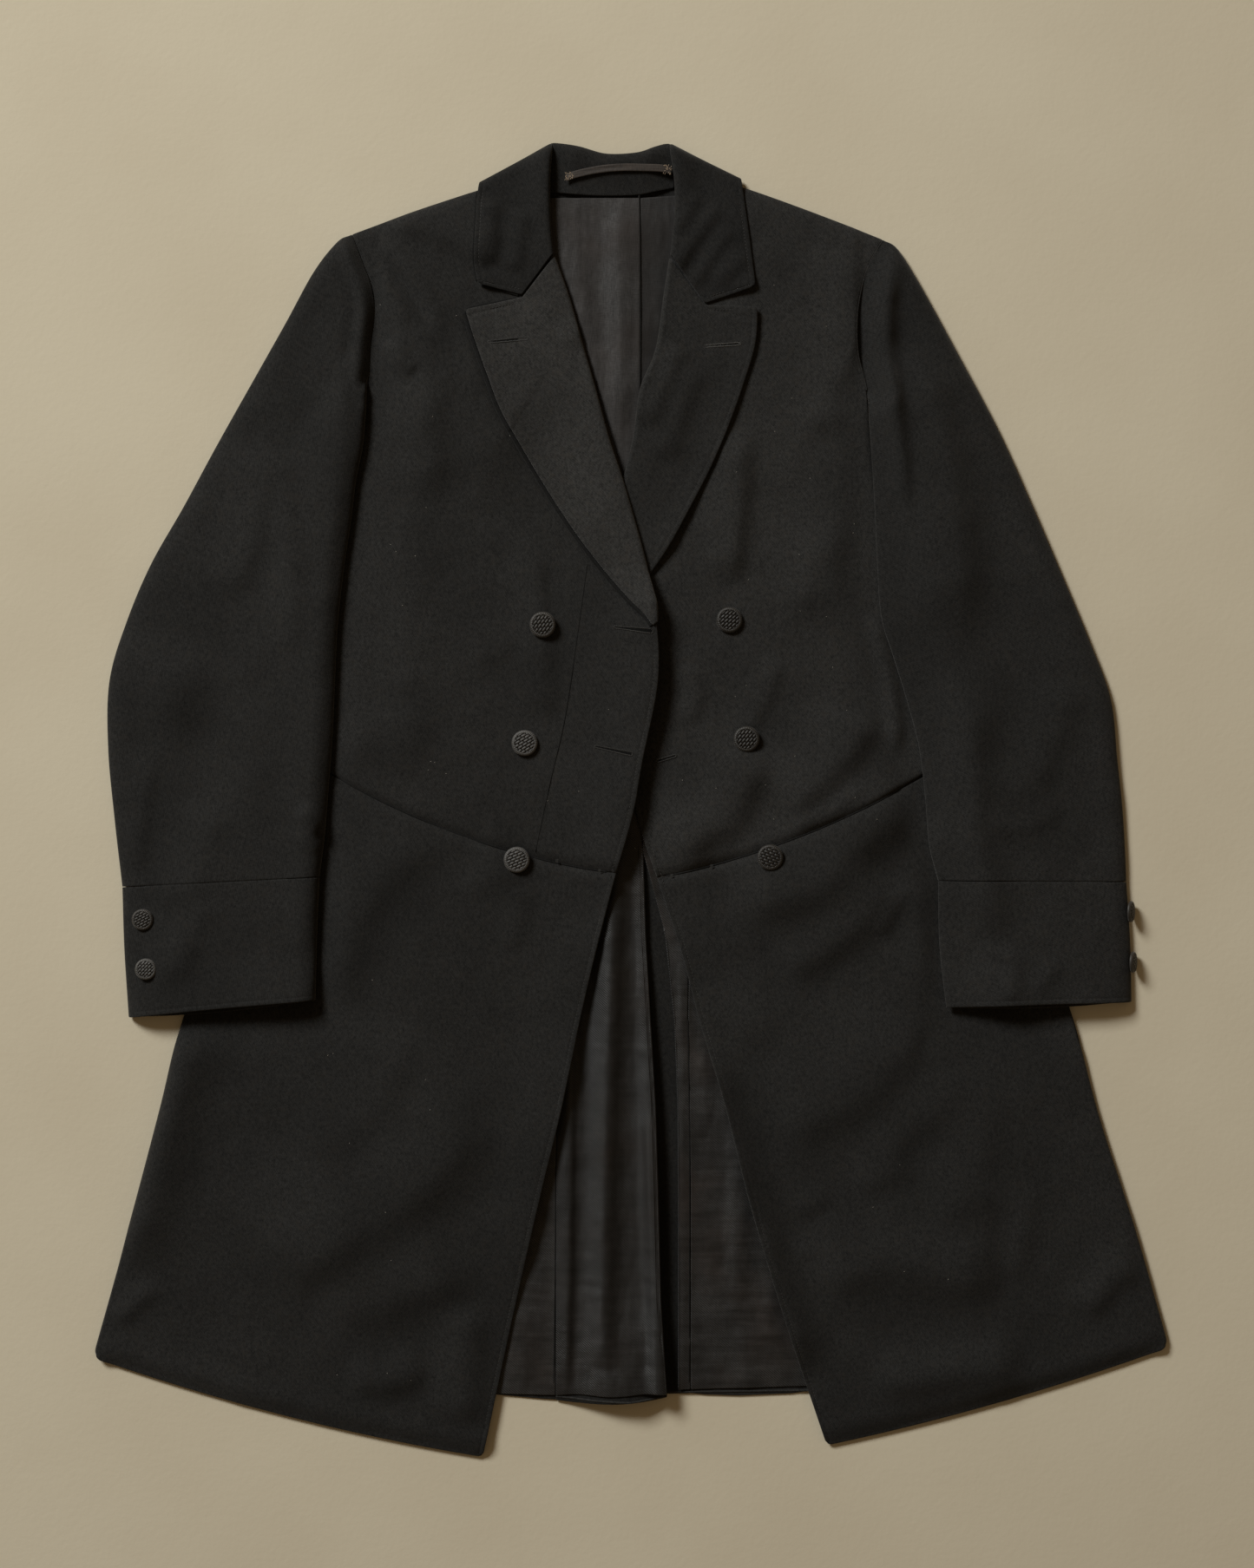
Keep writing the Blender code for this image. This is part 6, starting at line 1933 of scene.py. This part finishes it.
def cord_mesh(name, line, radius, material, sides=8):
    """A thin round cord along a line of points in three dimensions, closed at both ends."""
    line = np.asarray(line, float)
    tangent = np.gradient(line, axis=0)
    tangent /= np.maximum(np.linalg.norm(tangent, axis=1, keepdims=True), 1e-9)
    side = np.cross(tangent, np.array([0.0, 0.0, 1.0]))
    side /= np.maximum(np.linalg.norm(side, axis=1, keepdims=True), 1e-9)
    up = np.cross(side, tangent)
    verts, faces = [], []
    n = len(line)
    r = np.full(n, radius)
    r[0] = r[-1] = radius * 0.5
    for k in range(sides):
        angle = 2 * math.pi * k / sides
        verts.append(line + (side * math.cos(angle) + up * math.sin(angle)) * r[:, None])
    verts = np.concatenate(verts)
    faces = [f.tolist() for f in grid_faces(sides, n, 0, wrap=True)]
    faces.append([k * n for k in range(sides)])
    faces.append([k * n + n - 1 for k in range(sides)])
    return mesh_object(name, verts, faces, material)


def make_piping():
    """The bound edges of the tails."""
    lining_top = lambda x, y, lift: LINING_LAYER + LINING + lining_relief(x, y) + lift + 0.1
    place, last = panel(LINING_TAIL_LEFT, curve=straight)
    t = np.linspace(0.9, last, 160)
    x, y = place(np.full_like(t, 1.0), t)
    lift = vent_lift(x, y)
    for name, shift, radius, drop in (("piping_vent_outer", -0.2, 0.95, -0.5), ("piping_vent_inner", -3.0, 0.7, -0.25)):
        line = stack(x + shift, y, lining_top(x + shift, y, lift) + drop)
        thing = cord_mesh(name, line, radius, BLACK_LINING)
        place_piece(thing, "black_lining")
    place, last = panel(LINING_TAIL_RIGHT, curve=straight)
    t = np.linspace(1.9, last, 120)
    x, y = place(np.full_like(t, 1.0), t)
    line = stack(x + 0.2, y, lining_top(x, y, 0.0) - 0.35)
    thing = cord_mesh("piping_vent_right", line, 0.8, BLACK_LINING)
    place_piece(thing, "black_lining")
    # the hem of the backs
    x = np.linspace(-58, 27, 90)
    y = np.interp(x, [-58, -30, 0, 27], [-462.6, -464.6, -465.4, -461.6])
    line = stack(x, y + 1.6, 0.85 + vent_lift(x, y) + 0.9)
    thing = cord_mesh("piping_hem_left", line, 0.75, WOOL_BODY)
    place_piece(thing, "wool")
    x = np.linspace(19, 150, 90)
    y = np.interp(x, [18, 46, 136, 150], [-459.0, -458.7, -457.6, -457.2])
    line = stack(x, y + 1.0, 0.85 + 0.9 + 0 * x)
    thing = cord_mesh("piping_hem_right", line, 0.75, WOOL_BODY)
    place_piece(thing, "wool")


# The room ------------------------------------------------------------------------------------------


def make_shade_edge_cords():
    """The edge of the facing, turned under the left lapel and leaf, drawn as near-black cords: painted shade that shows
    as a dark line beside them.
    """
    place, last = panel(LAPEL_LEFT, 0.62)
    top = lambda x, y: front_left(x, y) + WOOL
    for name, line, radius in (
        ("under_edge_lapel_left", edge_line(place, last, "a", -1.5, 0.06, last - 0.02, 260), 1.9),
        ("under_edge_lapel_left_top", edge_line(place, last, "c", -0.45, 0.04, 0.56, 80), 0.8),
    ):
        x, y = line[:, 0], line[:, 1]
        thing = cord_mesh(name, stack(x, y, top(x, y) - (0.5 if "lapel" in name else -0.25)), radius, WOOL_SHADE_LINE)
        place_piece(thing, "wool")
    place, last = panel(LEAF_LEFT, 0.58)
    for name, side, t0, t1, radius in (("under_edge_leaf_left", "a", 0.5, last - 0.15, 0.8), ("under_edge_leaf_left_low", "d", 0.05, 0.54, 0.95)):
        line = edge_line(place, last, side, -0.5, t0, t1, 80)
        x, y = line[:, 0], line[:, 1]
        thing = cord_mesh(name, stack(x, y, top(x, y) - (0.5 if "lapel" in name else -0.25)), radius, WOOL_SHADE_LINE)
        place_piece(thing, "wool")


def smooth_line(pairs, count):
    p = np.array([(q[0], q[1]) for q in pairs], float)
    t = np.linspace(0, len(p) - 1, count)
    return through(p[:, 0], t), through(p[:, 1], t)


def make_seams():
    """What shows in the seams: the sleeves' at the armholes, the cuffs' and the one at the waist. The waist seam, the
    left front's seam, the neck lining's pleat and two seams in the tail linings are near-black cords: painted shade in
    those seams.
    """
    for side, rows, base, material, deep in (
        ("left", FOREPART_LEFT, front_left, WOOL_LEFT, 1.7),
        ("right", FOREPART_RIGHT, front_right, WOOL_BODY, 0.75),
    ):
        place, last = panel(rows)
        t = np.linspace(0.01, UNDERARM, 140)
        x, y = place(np.zeros_like(t), t)
        run = np.concatenate([[0.0], np.cumsum(np.hypot(np.diff(x), np.diff(y)))])
        z = 0.9 + (base(x, y) + WOOL - deep - 0.9) * rounded(run + 0.4, SHOULDER_ROLL)
        outward = -1 if side == "left" else 1
        thing = cord_mesh("armhole_seam_" + side, stack(x + outward * 0.2, y, z), 0.8, material)
        place_piece(thing, "wool")
        line = edge_line(place, last, "d", -0.15, 0.04, 0.97, 160)
        x, y = line[:, 0], line[:, 1]
        shown = (x > -232) & (x < 226)
        x, y = x[shown], y[shown]
        z = np.maximum(base(x, y) + WOOL - 3.2 + 0.15, 1.2)
        # near-black cord along the waist seam: painted shade in the seam
        thing = cord_mesh("waist_seam_" + side, stack(x, y, z), 0.75, WOOL_SHADE_LINE)
        place_piece(thing, "wool")
    # near-black cord along the left front's seam: painted shade in the seam
    x, y = smooth_line(points((677, 650), (665, 737), (651, 828), (634, 902), (617, 982)), 150)
    thing = cord_mesh("front_seam_left", stack(x, y, front_left(x, y) + WOOL - 0.1), 0.36, WOOL_SHADE_LINE, sides=6)
    place_piece(thing, "wool")
    # near-black cord along the neck lining's pleat: painted shade under the pleat
    x, y = smooth_line(points((736.5, 215), (737.5, 300), (738, 380), (737.5, 446)), 90)
    z = LINING_LAYER + LINING + lining_relief(x, y) + neck_rise(x, y)
    thing = cord_mesh("pleat_lining_neck", stack(x, y, z - 0.1), 0.8, WOOL_SHADE_LINE)
    place_piece(thing, "wool")
    # near-black cords along the tail linings' seams: painted shade in the seams
    for side, pairs in (
        ("left", points((640.5, 1345), (640, 1430), (639, 1520), (638, 1596))),
        ("right", points((793, 1175), (794.5, 1300), (794.5, 1450), (794, 1594))),
    ):
        x, y = smooth_line(pairs, 110)
        z = LINING_LAYER + LINING + lining_relief(x, y) + 0.2
        thing = cord_mesh("lining_seam_" + side, stack(x, y, z - 0.1), 0.5, WOOL_SHADE_LINE, sides=6)
        place_piece(thing, "black_lining")
    for side, rows, material in (("left", CUFF_LEFT, WOOL_SLEEVE_LEFT), ("right", CUFF_RIGHT, WOOL_SLEEVE_RIGHT)):
        u = np.linspace(0.12, 0.6 if side == "right" else 0.84, 80)
        first = rows[0]
        x, y = first.xa + (first.xb - first.xa) * u, first.ya + (first.yb - first.ya) * u
        thing = cord_mesh("cuff_seam_" + side, stack(x, y + 0.1, cuff_top(x, y) - 0.95), 0.7, material)
        place_piece(thing, "wool")


def make_floor():
    mesh = bpy.data.meshes.new("floor")
    bm = bmesh.new()
    bmesh.ops.create_grid(bm, x_segments=60, y_segments=60, size=4.0)
    bm.to_mesh(mesh)
    bm.free()
    mesh.materials.append(floor_material())
    floor = bpy.data.objects.new("floor", mesh)
    floor.location = (0, 0, -0.0002)
    bpy.context.scene.collection.objects.link(floor)
    return floor


def area_light(name, where, aim, size, power, colour):
    light = bpy.data.lights.new(name, "AREA")
    light.shape = "RECTANGLE"
    light.size, light.size_y = size
    light.energy = power
    light.color = colour
    thing = bpy.data.objects.new(name, light)
    thing.location = where
    direction = np.array(aim, float) - np.array(where, float)
    length = float(np.linalg.norm(direction))
    thing.rotation_euler = (
        math.acos(-direction[2] / length),
        0.0,
        math.atan2(direction[1], direction[0]) - math.pi / 2,
    )
    bpy.context.scene.collection.objects.link(thing)
    return thing


def make_room():
    make_floor()
    world = bpy.data.worlds.new("studio")
    bpy.context.scene.world = world
    world.use_nodes = True
    background = world.node_tree.nodes["Background"]
    background.inputs["Color"].default_value = (1.0, 0.72, 0.42, 1.0)
    background.inputs["Strength"].default_value = 0.15
    area_light("window", (-3.38, 3.84, 3.72), (0.0, 0.0, 0.0), (1.8, 1.8), 384.0, (0.98, 1.0, 0.975))
    camera_data = bpy.data.cameras.new("camera")
    camera_data.sensor_width = 36.0
    camera_data.lens = 71.2
    camera = bpy.data.objects.new("camera", camera_data)
    camera.location = (-0.003, 0.0124, 2.4)
    bpy.context.scene.collection.objects.link(camera)
    bpy.context.scene.camera = camera
    bpy.context.scene.view_settings.view_transform = "Standard"


make_room()
make_backs()
make_linings()
make_foreparts()
make_skirts()
make_lapels()
make_collar()
make_loop()
make_sleeves()
make_cuffs()
make_buttons()
make_sewing()
make_piping()
make_shade_edge_cords()
make_seams()

bpy.context.view_layer.update()
